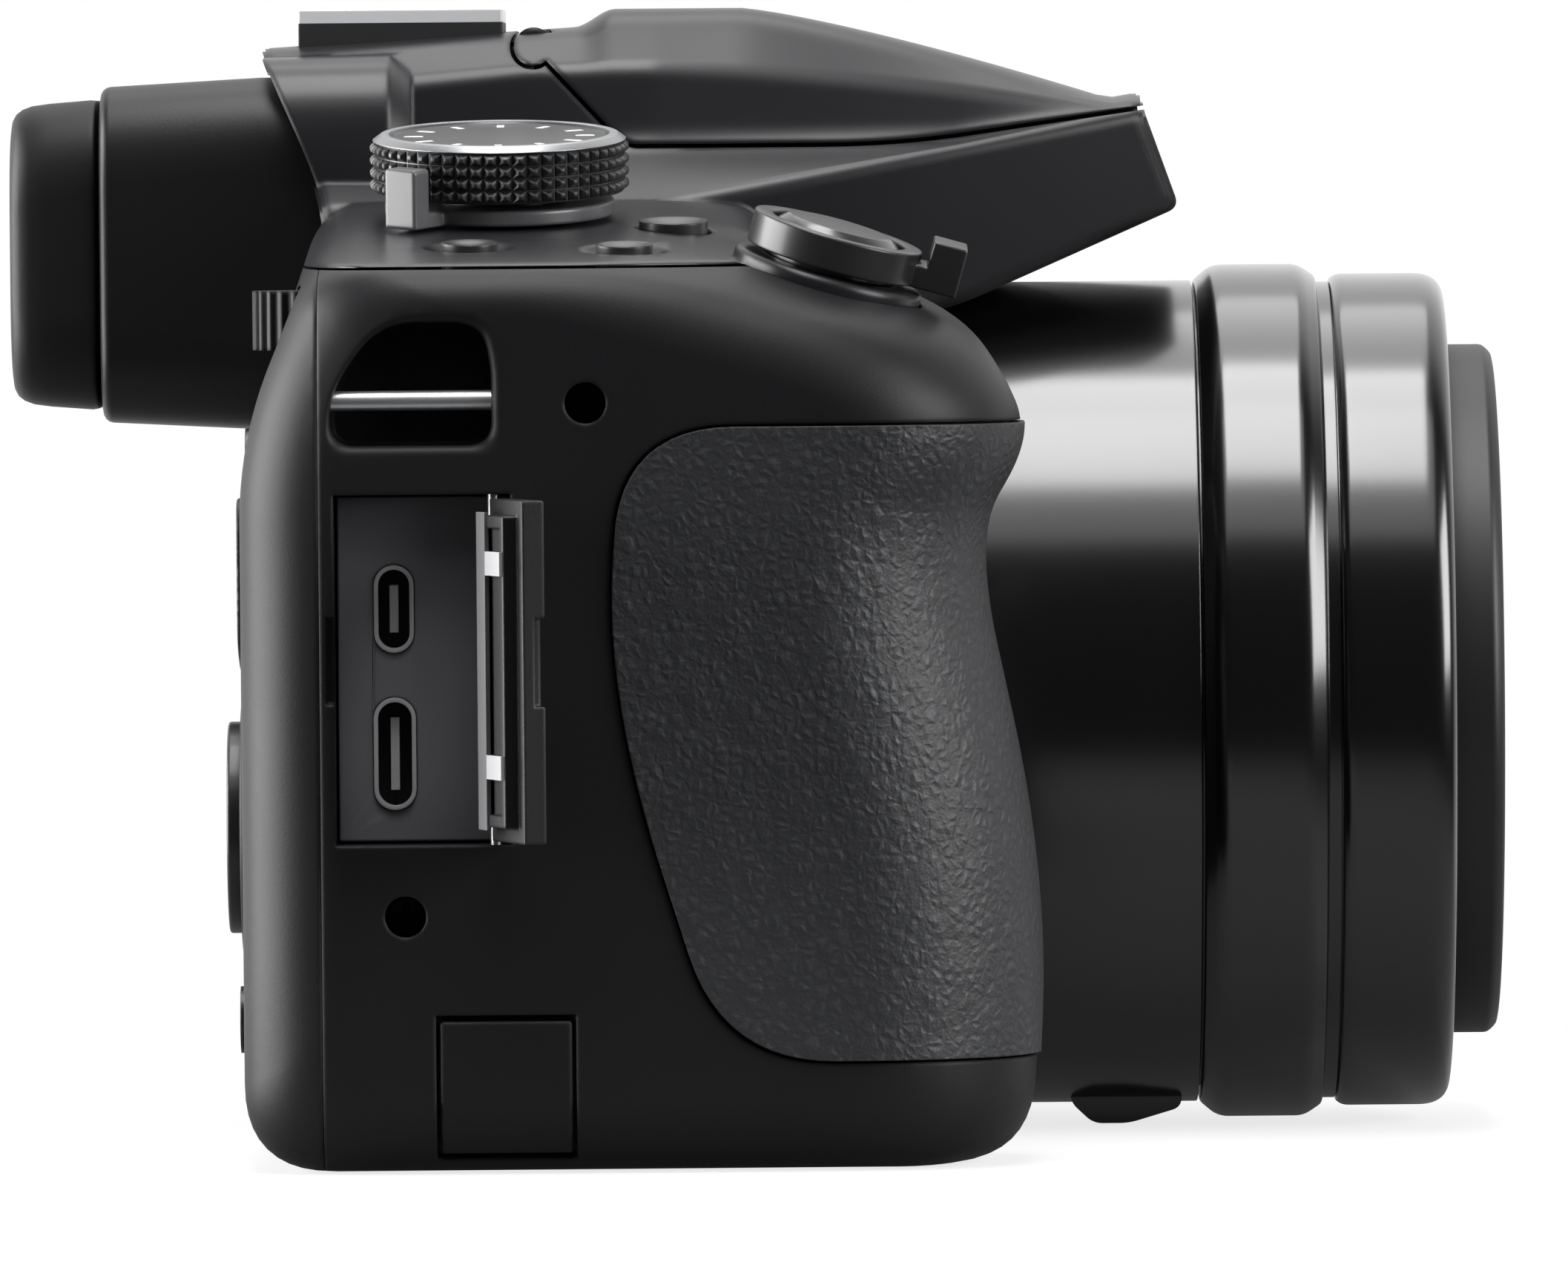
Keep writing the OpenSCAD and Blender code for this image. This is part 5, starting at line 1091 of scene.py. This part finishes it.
def top_cover(scene):
    form, hump, finder = BodyForm(scene), HumpForm(scene), FinderForm(scene)
    s, h, lens = form.s, hump.h, Millimetres(scene.camera_lens)
    r, axis = lens.barrel_d / 2, lens_frame(lens)
    shutter, dial = form.shutter_frame(), form.deck_frame(*MODE_DIAL)
    deck = meet(form.solid(), form.above_seam(s.seam_gap))
    crest = carve(hump.solid(), [hump.lid_zone(s.run_gap)])
    collar = loft([finder.ring(y, d) for y, d in ((20, 1.8), (4.2, 1.8), (2.4, 0.5))])
    collar = meet(collar, hump.side(-0.3), form.above_seam(s.seam_gap))
    seat = spun(soft([(0, -3.5, 0.1), (7.8, -3.5, 0.1), (7.8, 0.8, 0.5), (0, 0.8, 0.1)], 5), shutter)
    play, roof = 0.6, h.hump_h - 2.5
    (x0, y0, z0), (x1, y1, _) = low("flash_head"), high("flash_head")
    bays = (((-s.grip_side + 6, -form.fall_start + 1, 50), (-h.hump_foot + 0.5, 4, s.deck_h)),
            ((h.hump_foot - 0.5, -s.face_reach + 8, 50), (s.left_side - 5, 4, s.deck_h)))
    body = carve(fuse(deck, crest, collar, seat), [
        block((-h.hump_foot + 4, -s.face_reach + WALL + 1, s.seam_h - 20), (h.hump_foot - 4, 4, h.waist_h - 4)),
        block((x0 - play, y0 - 1.5, z0 - play), (x1 + play, y1 + 2, roof)),
        block((x0 - play, y1 + 1, z0 + 1.8), (x1 + play, -hump.crown_back - 1.2, roof)),
        rod(axis, r + 2 * s.seam_gap, s.face_reach - 20, 100, 192),
        rod(axis, r + RING_W + s.seam_gap, s.face_reach - 20, s.face_reach + RING_OUT + s.seam_gap, 192),
        *[meet(block(*bay), form.solid(-WALL, steps=4)) for bay in bays],
    ])
    adds = [rod(dial, 5.2, -WALL - 1, 1.9)]
    _, y, z = hump.hinge
    for x in hump.knuckles:
        adds.append(rod(hump.at_hinge, HINGE_R, x, x + KNUCKLE_W))
        adds.append(block((x, y, z - 2.6), (x + KNUCKLE_W, y + 3.5, z)))
    at_button = along("X", (0, *centre("flash_button")[1:]))
    button_r, inner, outer = radius("flash_button", 1), low("flash_button")[0], high("flash_button")[0]
    adds.append(rod(at_button, button_r + 1.2, inner - 2, outer - 0.8))
    shoe_low, shoe_high = low("hot_shoe"), high("hot_shoe")
    cuts = [
        finder.solid(s.seam_gap),
        rod(dial, DIAL_SHAFT_R, -THROUGH, THROUGH),
        rod(shutter, 5.4, -0.9, 5), rod(shutter, SHUTTER_STEM_R, -THROUGH, THROUGH),
        rod(form.deck_frame(*MOVIE_BUTTON), 2.8 + s.run_gap, -THROUGH, THROUGH),
        rod(at_button, button_r + s.run_gap, inner - 6, s.left_side),
        block((shoe_low[0] - 0.1, shoe_low[1] - 0.1, shoe_low[2]),
              (shoe_high[0] + 0.1, shoe_high[1] + 0.1, SKY)),
    ]
    dish = soft([(0, -0.7, 0.1), (2.8, -0.7, 0.4), (3.9, 0.0, 1.0), (5.2, 0.9, 0.2), (0, 0.9, 0.1)], 6)
    for at in DECK_BUTTONS:
        place = form.deck_frame(*at)
        cuts += [spun(dish, place), rod(place, DECK_BUTTON_R + s.run_gap, -THROUGH, THROUGH)]
    cuts += [hump.seal("nose", SEAL_GAP), hump.hinge_disc(SEAL_GAP)]
    return fuse(carve(fuse(body, *adds), cuts), hump.seal("rear", 0))


def flash_lid(scene):
    hump = HumpForm(scene)
    h, gap, back = hump.h, hump.s.run_gap, -hump.crown_back
    (x0, rim, _), (x1, head_end, _) = low("flash_head"), high("flash_head")
    inside = [(back + 1, h.waist_h - 3.2), (back + 1, h.hump_h - 3), (back - 12.5, h.hump_h - 2.8),
              (head_end + 5, h.hump_h - 4.8), (rim + 1.2, h.waist_h + 1.3), (rim - 0.8, h.waist_h - 3.2)]
    cuts = [prism_x(inside, x0 - 0.2, x1 + 0.2)]
    cuts += [rod(hump.at_hinge, HINGE_R + gap, x - gap, x + KNUCKLE_W + gap) for x in hump.knuckles]
    cuts += [rod(hump.at_hinge, 0.76, -h.top_w, h.top_w), hump.seal("rear", SEAL_GAP)]
    lid = fuse(meet(hump.solid(), hump.lid_zone(0)), hump.hinge_disc(0))
    return fuse(carve(lid, cuts), hump.seal("nose", 0))


def flash_arm(scene):
    """The arm that carries the flash head under the lid."""
    hump = HumpForm(scene)
    head_low, head_high = low("flash_head"), high("flash_head")
    foot, top, back = head_low[2] + 2.6, hump.h.waist_h + 2.6, -hump.crown_back
    arm = block((head_low[0] + 0.2, head_high[1] + 0.1, foot), (head_high[0] - 0.2, back - 2.2, top))
    return fuse(arm, block((5, back - 4, foot + 0.4), (head_high[0] - 0.6, back - 1.4, top - 0.4)))


def grip_rubber(scene):
    form = BodyForm(scene)
    s = form.s
    outer, inner = (form.solid(d, grip_only=True) for d in (s.rubber_proud, s.rubber_proud - s.rubber_t))
    return meet(carve(outer, [inner]), form.rubber_zone(0))


# Operators: one for each group of pieces, then the stage

class CAMERA_OT_covers(bpy.types.Operator):
    """Builds the front, rear and top covers, the flash lid and the rubber"""
    bl_idname = "camera_part.covers"
    bl_label = "Covers"

    def execute(self, context):
        scene = context.scene
        piece("front_cover_shell", front_cover(scene), FINISH["body"], "front_cover")
        piece("rear_cover_shell", rear_cover(scene), FINISH["body"], "rear_cover")
        piece("top_cover_shell", top_cover(scene), FINISH["cover"], "top_cover")
        piece("flash_lid_shell", flash_lid(scene), FINISH["cover"], "flash_lid")
        trim("flash_arm", flash_arm(scene), FINISH["dark"], "flash_head")
        piece("grip_rubber_skin", grip_rubber(scene), FINISH["rubber"], "grip_rubber")
        softened("thumb_rest", FINISH["rubber"], bevel=0.5)
        return {"FINISHED"}


class CAMERA_OT_lens(bpy.types.Operator):
    """Builds the fixed barrel, the collars, the zoom barrels and the front lens"""
    bl_idname = "camera_part.lens"
    bl_label = "Lens"

    def execute(self, context):
        lens = Millimetres(context.scene.camera_lens)
        axis = lens_frame(lens)
        r = lens.barrel_d / 2
        reach = -high("rear_collar")[1]
        bore = radius("middle_barrel") + 0.4
        tip = 82.1
        tube = [(10, 11, 0.1), (r, 11, 0.1), (r, reach - 0.2, 0.15), (r - 1.3, reach - 0.2, 0.1),
                (r - 1.3, tip, 0.1), (bore, tip, 0.1), (bore, reach - 4, 0.1), (r - 2, reach - 4, 0.1),
                (r - 2, 13, 0.1), (10, 13, 0.1)]
        under = lens.axis_h - r
        foot = [(-51.6, under + 1.8, 0.1), (-51.8, under + 0.2, 0.6), (-53.6, 0, 0.8), (-56.6, 0, 0.8),
                (-61, under - 0.2, 0.8), (-61, under + 1.8, 0.1)]
        foot = prism_x(soft(foot, 6), -7, 7)
        piece("lens_tube", fuse(spun(soft(tube, 3), axis, 240), foot), FINISH["lens"], "lens_barrel")
        self.collars(axis, r, reach)
        self.zoom(axis, bore - 0.4)
        return {"FINISHED"}

    def collars(self, axis, r, reach):
        inside = r - 1.25
        rear = radius("rear_collar")
        rear_end, rear_tail = reach + 10.2, -low("rear_collar")[1]
        profile = [(inside, reach, 0.1), (rear - 1.3, reach, 0.3), (rear, reach + 1.5, 0.9),
                   (rear, rear_end - 1.5, 0.7), (rear - 1.0, rear_end, 0.35), (inside + 1.05, rear_end, 0.1),
                   (inside + 1.05, rear_tail, 0.1), (inside, rear_tail, 0.1)]
        piece("rear_collar_ring", spun(soft(profile, 6), axis, 240), FINISH["lens"], "rear_collar")
        front = radius("front_collar")
        start, end = -high("front_collar")[1], -low("front_collar")[1]
        bore = radius("middle_barrel") + 0.35
        profile = [(inside, start, 0.1), (front - 0.4, start, 0.2), (front, start + 0.6, 0.5),
                   (front, end - 1.6, 1.0), (front - 0.5, end - 0.5, 0.6), (front - 1.3, end, 0.4),
                   (bore, end, 0.2), (bore, end - 1.2, 0.1), (inside, end - 1.2, 0.1)]
        piece("front_collar_ring", spun(soft(profile, 6), axis, 240), FINISH["lens"], "front_collar")

    def zoom(self, axis, middle):
        front = radius("front_barrel")
        start, end = -high("middle_barrel")[1], -low("middle_barrel")[1]
        profile = [(front + 0.35, start, 0.1), (middle, start, 0.1), (middle, end, 0.4), (front + 0.35, end, 0.2)]
        piece("middle_barrel_tube", spun(soft(profile, 5), axis, 240), FINISH["barrel"], "middle_barrel")
        start, tip = -high("front_barrel")[1], -low("front_barrel")[1]
        thread = MOUNTS["filter_thread"]["dims"]
        r, depth = thread["r_mm"], thread["length_mm"]
        glass = radius("front_lens")
        floor = tip - depth
        rings, pitch = [], 0.75
        for k in range(int((depth - 0.8) / pitch)):
            d = tip - 0.5 - pitch * k
            rings += [(r, d, 0.05), (r + 0.38, d - 0.36, 0.05)]
        profile = [(front - 1.4, start, 0.1), (front, start, 0.1), (front, tip - 0.75, 0.3),
                   (front - 0.7, tip, 0.3), (r, tip, 0.1), *rings, (r, floor, 0.1), (glass + 3, floor, 0.1),
                   (glass + 2.4, floor - 0.35, 0.1), (glass + 1.6, floor, 0.1), (glass + 0.05, floor - 1.4, 0.1),
                   (glass + 0.05, floor - 9, 0.1), (front - 1.4, floor - 9, 0.1)]
        piece("front_barrel_tube", spun(soft(profile, 2), axis, 240), FINISH["barrel"], "front_barrel")
        d = floor - 8.6
        dome = [(0, d), (glass, d), (glass, d + 4)]
        leans = [math.radians(a) for a in range(6, 90, 6)]
        dome += [(glass * math.cos(t), d + 4 + 4.4 * math.sin(t)) for t in leans]
        piece("front_lens_glass", spun(dome + [(0, d + 8.4)], axis, 128), FINISH["glass"], "front_lens")


class CAMERA_OT_finder(bpy.types.Operator):
    """Builds the viewfinder housing and its eyecup"""
    bl_idname = "camera_part.finder"
    bl_label = "Viewfinder"

    def execute(self, context):
        finder = FinderForm(context.scene)
        lens_low, lens_high = low("eyepiece_lens"), high("eyepiece_lens")
        w, h = lens_high[0] - lens_low[0] + 0.2, lens_high[2] - lens_low[2] + 0.2
        rim = 0.8
        rings = [finder.ring(finder.reach - rim + rim * math.sin(t), -rim * (1 - math.cos(t)))
                 for t in (1.57, 1.2, 0.8, 0.4, 0)]
        rings += [finder.ring(finder.knee, 0), finder.ring(finder.front, 0)]
        window = [(u, v + finder.mid) for u, v, _ in rectangle(w, h, 0)]
        window = prism_y(window, finder.front + 2, finder.reach + 1)
        dioptre = joint_frame("dioptre_turn")
        axle = rod(dioptre, 1.26, -23, 40)
        piece("finder_shell", carve(loft(rings), [window, axle]), FINISH["finder"], "viewfinder_housing")
        self.eyecup(finder)
        softened("dioptre_dial", FINISH["control"], bevel=0.12)
        dress(FINISH["glass"], "eyepiece_lens")
        dress(FINISH["screen"], "viewfinder_display")
        return {"FINISHED"}

    def eyecup(self, finder):
        reach = high("eyecup")[1] - finder.reach
        steps = [(reach, -2.9), (reach - 0.1, -2.3), (reach - 0.4, -1.8), (reach - 0.9, -1.45),
                 (reach - 1.7, -1.2), (reach - 3.2, -1.08), (0.9, -1.0), (0.45, -1.1), (0.1, -1.6)]
        cup = loft([finder.ring(finder.reach + y, d) for y, d in steps])
        throat = [(u, v + finder.mid) for u, v in soft(rectangle(25, 17, 4), 10)]
        throat = prism_y(throat, finder.reach - 1, finder.reach + 9)
        flare = []
        for y, d in ((reach + 0.4, 3.2), (reach - 0.5, 2.2), (reach - 1.8, 1.2), (reach - 3.4, 0.45)):
            rim = soft(rectangle(24 + 2 * d, 16 + 2 * d, 5), 10)
            flare.append([(u, finder.reach + y, v + finder.mid) for u, v in rim])
        piece("eyecup_rubber", carve(cup, [throat, loft(flare)]), FINISH["eyecup"], "eyecup")


class CAMERA_OT_controls(bpy.types.Operator):
    """Builds the dials, levers and buttons"""
    bl_idname = "camera_part.controls"
    bl_label = "Controls"

    def execute(self, context):
        self.mode_dial()
        softened("rear_dial", FINISH["body"], bevel=0.06)
        for node in ("drive_button", "function_button", "movie_button", "flash_button", "cursor_pad",
                     "set_button", "playback_button", "display_button", "lock_button"):
            softened(node, FINISH["control"], bevel=0.25)
        softened("power_lever", FINISH["switch"], bevel=0.3)
        softened("zoom_lever", FINISH["control"], bevel=0.35)
        softened("shutter_button", FINISH["shutter"], bevel=0.3)
        softened("monitor_glass", FINISH["screen"], bevel=0.15)
        dress(FINISH["dark"], "monitor")
        return {"FINISHED"}

    def mode_dial(self):
        """A drum with four rows of studs, a bevelled rim and a ring of marks."""
        place = joint_frame("mode_dial_turn")
        inward = place.inverted()
        points = [inward @ (v.co / MM) for v in frame["nodes"]["mode_dial"].data.vertices]
        top = max(p.z for p in points)
        r = max(math.hypot(p.x, p.y) for p in points)
        foot = min(p.z for p in points if math.hypot(p.x, p.y) > 5)
        rise = 0.42
        drum = [(0, foot, 0.1), (r - rise, foot, 0.15), (r - rise, top - 0.55, 0.1), (r - 0.25, top - 0.5, 0.1),
                (r - 0.95, top, 0.12), (r - 1.7, top, 0.1), (r - 1.9, top - 0.22, 0.1), (0, top - 0.22, 0.1)]
        shaft = rod(place, 2.5, min(p.z for p in points), foot + 0.5)
        drum = fuse(spun(soft(drum, 3), place, 144), shaft)
        piece("mode_dial_drum", drum, FINISH["control"], "mode_dial", sharp=25)
        rim = [(r - 0.3, top - 0.5, 0.05), (r - 0.22, top - 0.48, 0.05), (r - 0.92, top + 0.03, 0.1),
               (r - 1.6, top + 0.02, 0.05), (r - 1.5, top - 0.1, 0.05)]
        trim("mode_dial_rim", spun(soft(rim, 3), place, 144), FINISH["steel"], "mode_dial", sharp=25)
        tree = ring_tree()
        rows, count = 4, 54
        pitch = (top - 0.6 - foot - 0.1) / rows
        knurl = studs(tree, place @ Matrix.Translation((0, 0, foot + 0.1 + pitch / 2)), Count=count, Rows=rows,
                      Radius=r - rise - 0.02, Pitch=pitch, Lean=math.radians(90),
                      Size=(pitch * 0.94, math.tau * r / count * 0.9, rise), Material=FINISH["control"])
        trim("mode_dial_studs", knurl, FINISH["control"], "mode_dial", sharp=20)
        marks = studs(tree, place @ Matrix.Translation((0, 0, top - 0.23)), Count=12, Rows=1,
                      Radius=r - 3.6, Pitch=1.0, Lean=0.0, Size=(1.8, 0.7, 0.05), Material=FINISH["mark"])
        trim("mode_dial_marks", marks, FINISH["mark"], "mode_dial", sharp=20)


class CAMERA_OT_terminals(bpy.types.Operator):
    """Builds the terminal panel, its sockets and door, and the coupler flap"""
    bl_idname = "camera_part.terminals"
    bl_label = "Terminals"

    def execute(self, context):
        softened("terminal_panel", FINISH["panel"], bevel=0.12)
        for node in ("hdmi_socket", "usb_socket"):
            softened(node, FINISH["plating"], bevel=0.08)
        softened("terminal_door", FINISH["door"], bevel=0.25)
        self.door_tabs()
        softened("coupler_flap", FINISH["body"], bevel=0.2)
        dress(FINISH["steel"], "terminal_hinge_pin")
        return {"FINISHED"}

    def door_tabs(self):
        """A pale seal and the ends of two hinge arms on the inner face of the open door."""
        swing = JOINTS["terminal_door_swing"]
        x, y, _ = [v / MM for v in swing["pos_m"]]
        place = Matrix.Translation((x, y, 0)) @ Matrix.Rotation(math.radians(-swing["range_deg"][0]), 4, "Z")
        foot, top = low("terminal_door")[2], high("terminal_door")[2]

        def slab(y0, y1, z0, z1, rise):
            corners = [(1.85, z0), (2 + rise, z0), (2 + rise, z1), (1.85, z1)]
            return loft([[tuple(place @ Vector((x, y, z))) for x, z in corners] for y in (y0, y1)])

        trim("door_seal", slab(3.0, 5.7, foot + 1.0, top - 1.0, 0.2), FINISH["seal"], "terminal_door")
        middle = (foot + top) / 2
        tabs = [slab(5.9, 10.6, z - 0.95, z + 0.95, 0.25) for z in (middle - 7.6, middle + 8.6)]
        trim("door_tabs", fuse(*tabs), FINISH["tab"], "terminal_door")


class CAMERA_OT_metalwork(bpy.types.Operator):
    """Builds the hot shoe, the strap bars, the screws and the pins"""
    bl_idname = "camera_part.metalwork"
    bl_label = "Metalwork"

    def execute(self, context):
        softened("hot_shoe", FINISH["shoe"], bevel=0.18)
        softened("strap_bars", FINISH["bar"], bevel=0.15)
        softened("case_screws", FINISH["dark"], bevel=0.1)
        dress(FINISH["steel"], "flash_hinge_pin", "battery_hinge_pin")
        return {"FINISHED"}


class CAMERA_OT_base(bpy.types.Operator):
    """Builds the base plate with its socket, door and latch"""
    bl_idname = "camera_part.base"
    bl_label = "Base"

    def execute(self, context):
        softened("base_plate", FINISH["body"], bevel=0.15)
        softened("battery_door", FINISH["body"], bevel=0.15)
        softened("battery_latch", FINISH["lever"], bevel=0.12)
        softened("tripod_socket", FINISH["brass"], bevel=0.15)
        return {"FINISHED"}


class CAMERA_OT_inside(bpy.types.Operator):
    """Gives the pieces inside the covers their finishes"""
    bl_idname = "camera_part.inside"
    bl_label = "Inside"

    def execute(self, context):
        dress(FINISH["dark"], "flash_head", "battery_box", "zoom_motor", "flash_capacitor")
        dress(FINISH["window"], "flash_window")
        dress(FINISH["board"], "sensor_board", "main_board")
        dress(FINISH["cell"], "battery", "memory_card")
        dress(FINISH["glass"], "rear_lens_group", "zoom_lens_group")
        return {"FINISHED"}


class CAMERA_OT_stage(bpy.types.Operator):
    """Sets the floor, the lights, the sky and the camera"""
    bl_idname = "camera_part.stage"
    bl_label = "Stage"

    def execute(self, context):
        scene = context.scene
        self.floor(scene)
        self.sky(scene)
        self.light("overhead", (-0.19, -0.02, 1.0), (-0.1, -0.02, 0), (0.36, 0.7), 6.8)
        self.light("far_overhead", (0.42, -0.02, 0.95), (0.1, -0.02, 0), (0.5, 0.7), 2.0)
        self.light("near_fill", (-0.6, -0.05, 1.25), (0, -0.03, 0.05), (1.0, 1.0), 4.5)
        self.light("rear_box", (0.05, 0.95, 0.2), (0, 0, 0.05), (0.9, 0.8), 25)
        self.light("front_box", (-0.5, -1.0, 0.45), (0, -0.06, 0.04), (0.6, 0.7), 13)
        self.camera(scene)
        scene.view_settings.view_transform = "Standard"
        return {"FINISHED"}

    def floor(self, scene):
        """A round floor that fades out into the backdrop and keeps the shadow of the camera."""
        mesh = bpy.data.meshes.new("floor")
        middle, wide, sides = Vector((0, -0.025, -0.0001)), 0.2, 96
        full, gone = 0.08, 0.18
        turns = [math.tau * k / sides for k in range(sides)]
        ring = [middle + wide * Vector((math.cos(t), math.sin(t), 0)) for t in turns]
        mesh.from_pydata(ring, [], [tuple(range(sides))])
        finish = Finish("floor")
        grain = finish.noise(6, 3.0)
        away = finish.node("ShaderNodeVectorMath", {"operation": "DISTANCE"}, {
            0: finish.place(), 1: middle}, output="Value")
        shown = finish.node("ShaderNodeMapRange", {"interpolation_type": "SMOOTHSTEP"}, {
            0: away, 1: full, 2: gone, 3: 1.0, 4: 0.0})
        seen, shine, through = finish.rays()
        mesh.materials.append(finish.surface(
            Base_Color=finish.tint(scene.camera_colours.floor, grain, 0.01), Roughness=0.75 + 0.05 * grain,
            Alpha=shown, Emission_Color=seen + 0.08 * (shine + through), Emission_Strength=0.78))
        floor = bpy.data.objects.new("floor", mesh)
        scene.collection.objects.link(floor)

    def sky(self, scene):
        """A dim studio with a white backdrop, which metal and glass show on the far side."""
        scene.world = bpy.data.worlds.new("sky")
        scene.world.use_nodes = True
        nodes = Nodes(scene.world.node_tree)
        seen, shine, through = nodes.rays()
        aim = nodes.node("ShaderNodeTexCoord", output="Generated")
        side = nodes.node("ShaderNodeSeparateXYZ", {}, {0: aim}, output="X")
        far = nodes.node("ShaderNodeMapRange", {"interpolation_type": "SMOOTHSTEP"}, {0: side, 1: 0.0, 2: 0.6})
        shown = seen.most((shine + through) * far)
        level = nodes.node("ShaderNodeMapRange", {}, {0: shown, 3: 0.035, 4: 1.0})
        nodes.join(nodes.tree.nodes["Background"], {"Color": (1, 1, 1, 1), "Strength": level})

    def light(self, name, place, aim, size, power):
        data = bpy.data.lights.new(name, "AREA")
        data.shape = "RECTANGLE"
        data.size, data.size_y = size
        data.energy = power
        lamp = bpy.data.objects.new(name, data)
        lamp.location = place
        lamp.rotation_euler = (Vector(aim) - Vector(place)).to_track_quat("-Z", "Y").to_euler()
        bpy.context.scene.collection.objects.link(lamp)

    def camera(self, scene):
        data = bpy.data.cameras.new("camera")
        data.sensor_fit = "HORIZONTAL"
        data.sensor_width = 36
        data.lens = 437.9
        data.clip_end = 200
        distance, lift, roll = 1.6, math.radians(1.5), math.radians(-0.5)
        target = Vector((0, -0.0281, 0.0401))
        view = bpy.data.objects.new("camera", data)
        view.location = target + distance * Vector((-math.cos(lift), 0, math.sin(lift)))
        look = (target - view.location).to_track_quat("-Z", "Y").to_matrix()
        view.rotation_euler = (look @ Matrix.Rotation(roll, 3, "Z")).to_euler()
        scene.collection.objects.link(view)
        scene.camera = view


class CAMERA_PT_panel(bpy.types.Panel):
    """Sizes and colours of the camera, and the steps that build it"""
    bl_label = "Bridge Camera"
    bl_idname = "CAMERA_PT_bridge_camera"
    bl_space_type = "VIEW_3D"
    bl_region_type = "UI"
    bl_category = "Bridge Camera"

    def draw(self, context):
        for group in GROUPS:
            box = self.layout.box()
            settings = getattr(context.scene, group)
            for name in settings.__annotations__:
                box.prop(settings, name)
        for step in STEPS:
            self.layout.operator(step.bl_idname)


STEPS = (CAMERA_OT_covers, CAMERA_OT_lens, CAMERA_OT_finder, CAMERA_OT_controls, CAMERA_OT_terminals,
         CAMERA_OT_metalwork, CAMERA_OT_base, CAMERA_OT_inside, CAMERA_OT_stage)
GROUPS = {"camera_body": BodySizes, "camera_hump": HumpSizes, "camera_lens": LensSizes,
          "camera_colours": FinishColours}


def register():
    for name, group in GROUPS.items():
        bpy.utils.register_class(group)
        setattr(bpy.types.Scene, name, bpy.props.PointerProperty(type=group))
    for step in STEPS:
        bpy.utils.register_class(step)
    bpy.utils.register_class(CAMERA_PT_panel)


def unregister():
    bpy.utils.unregister_class(CAMERA_PT_panel)
    for step in reversed(STEPS):
        bpy.utils.unregister_class(step)
    for name, group in GROUPS.items():
        delattr(bpy.types.Scene, name)
        bpy.utils.unregister_class(group)


def main():
    register()
    FINISH.update(finishes(bpy.context.scene.camera_colours))
    for step in STEPS:
        getattr(bpy.ops.camera_part, step.bl_idname.split(".")[1])()


if __name__ == "__main__":
    main()
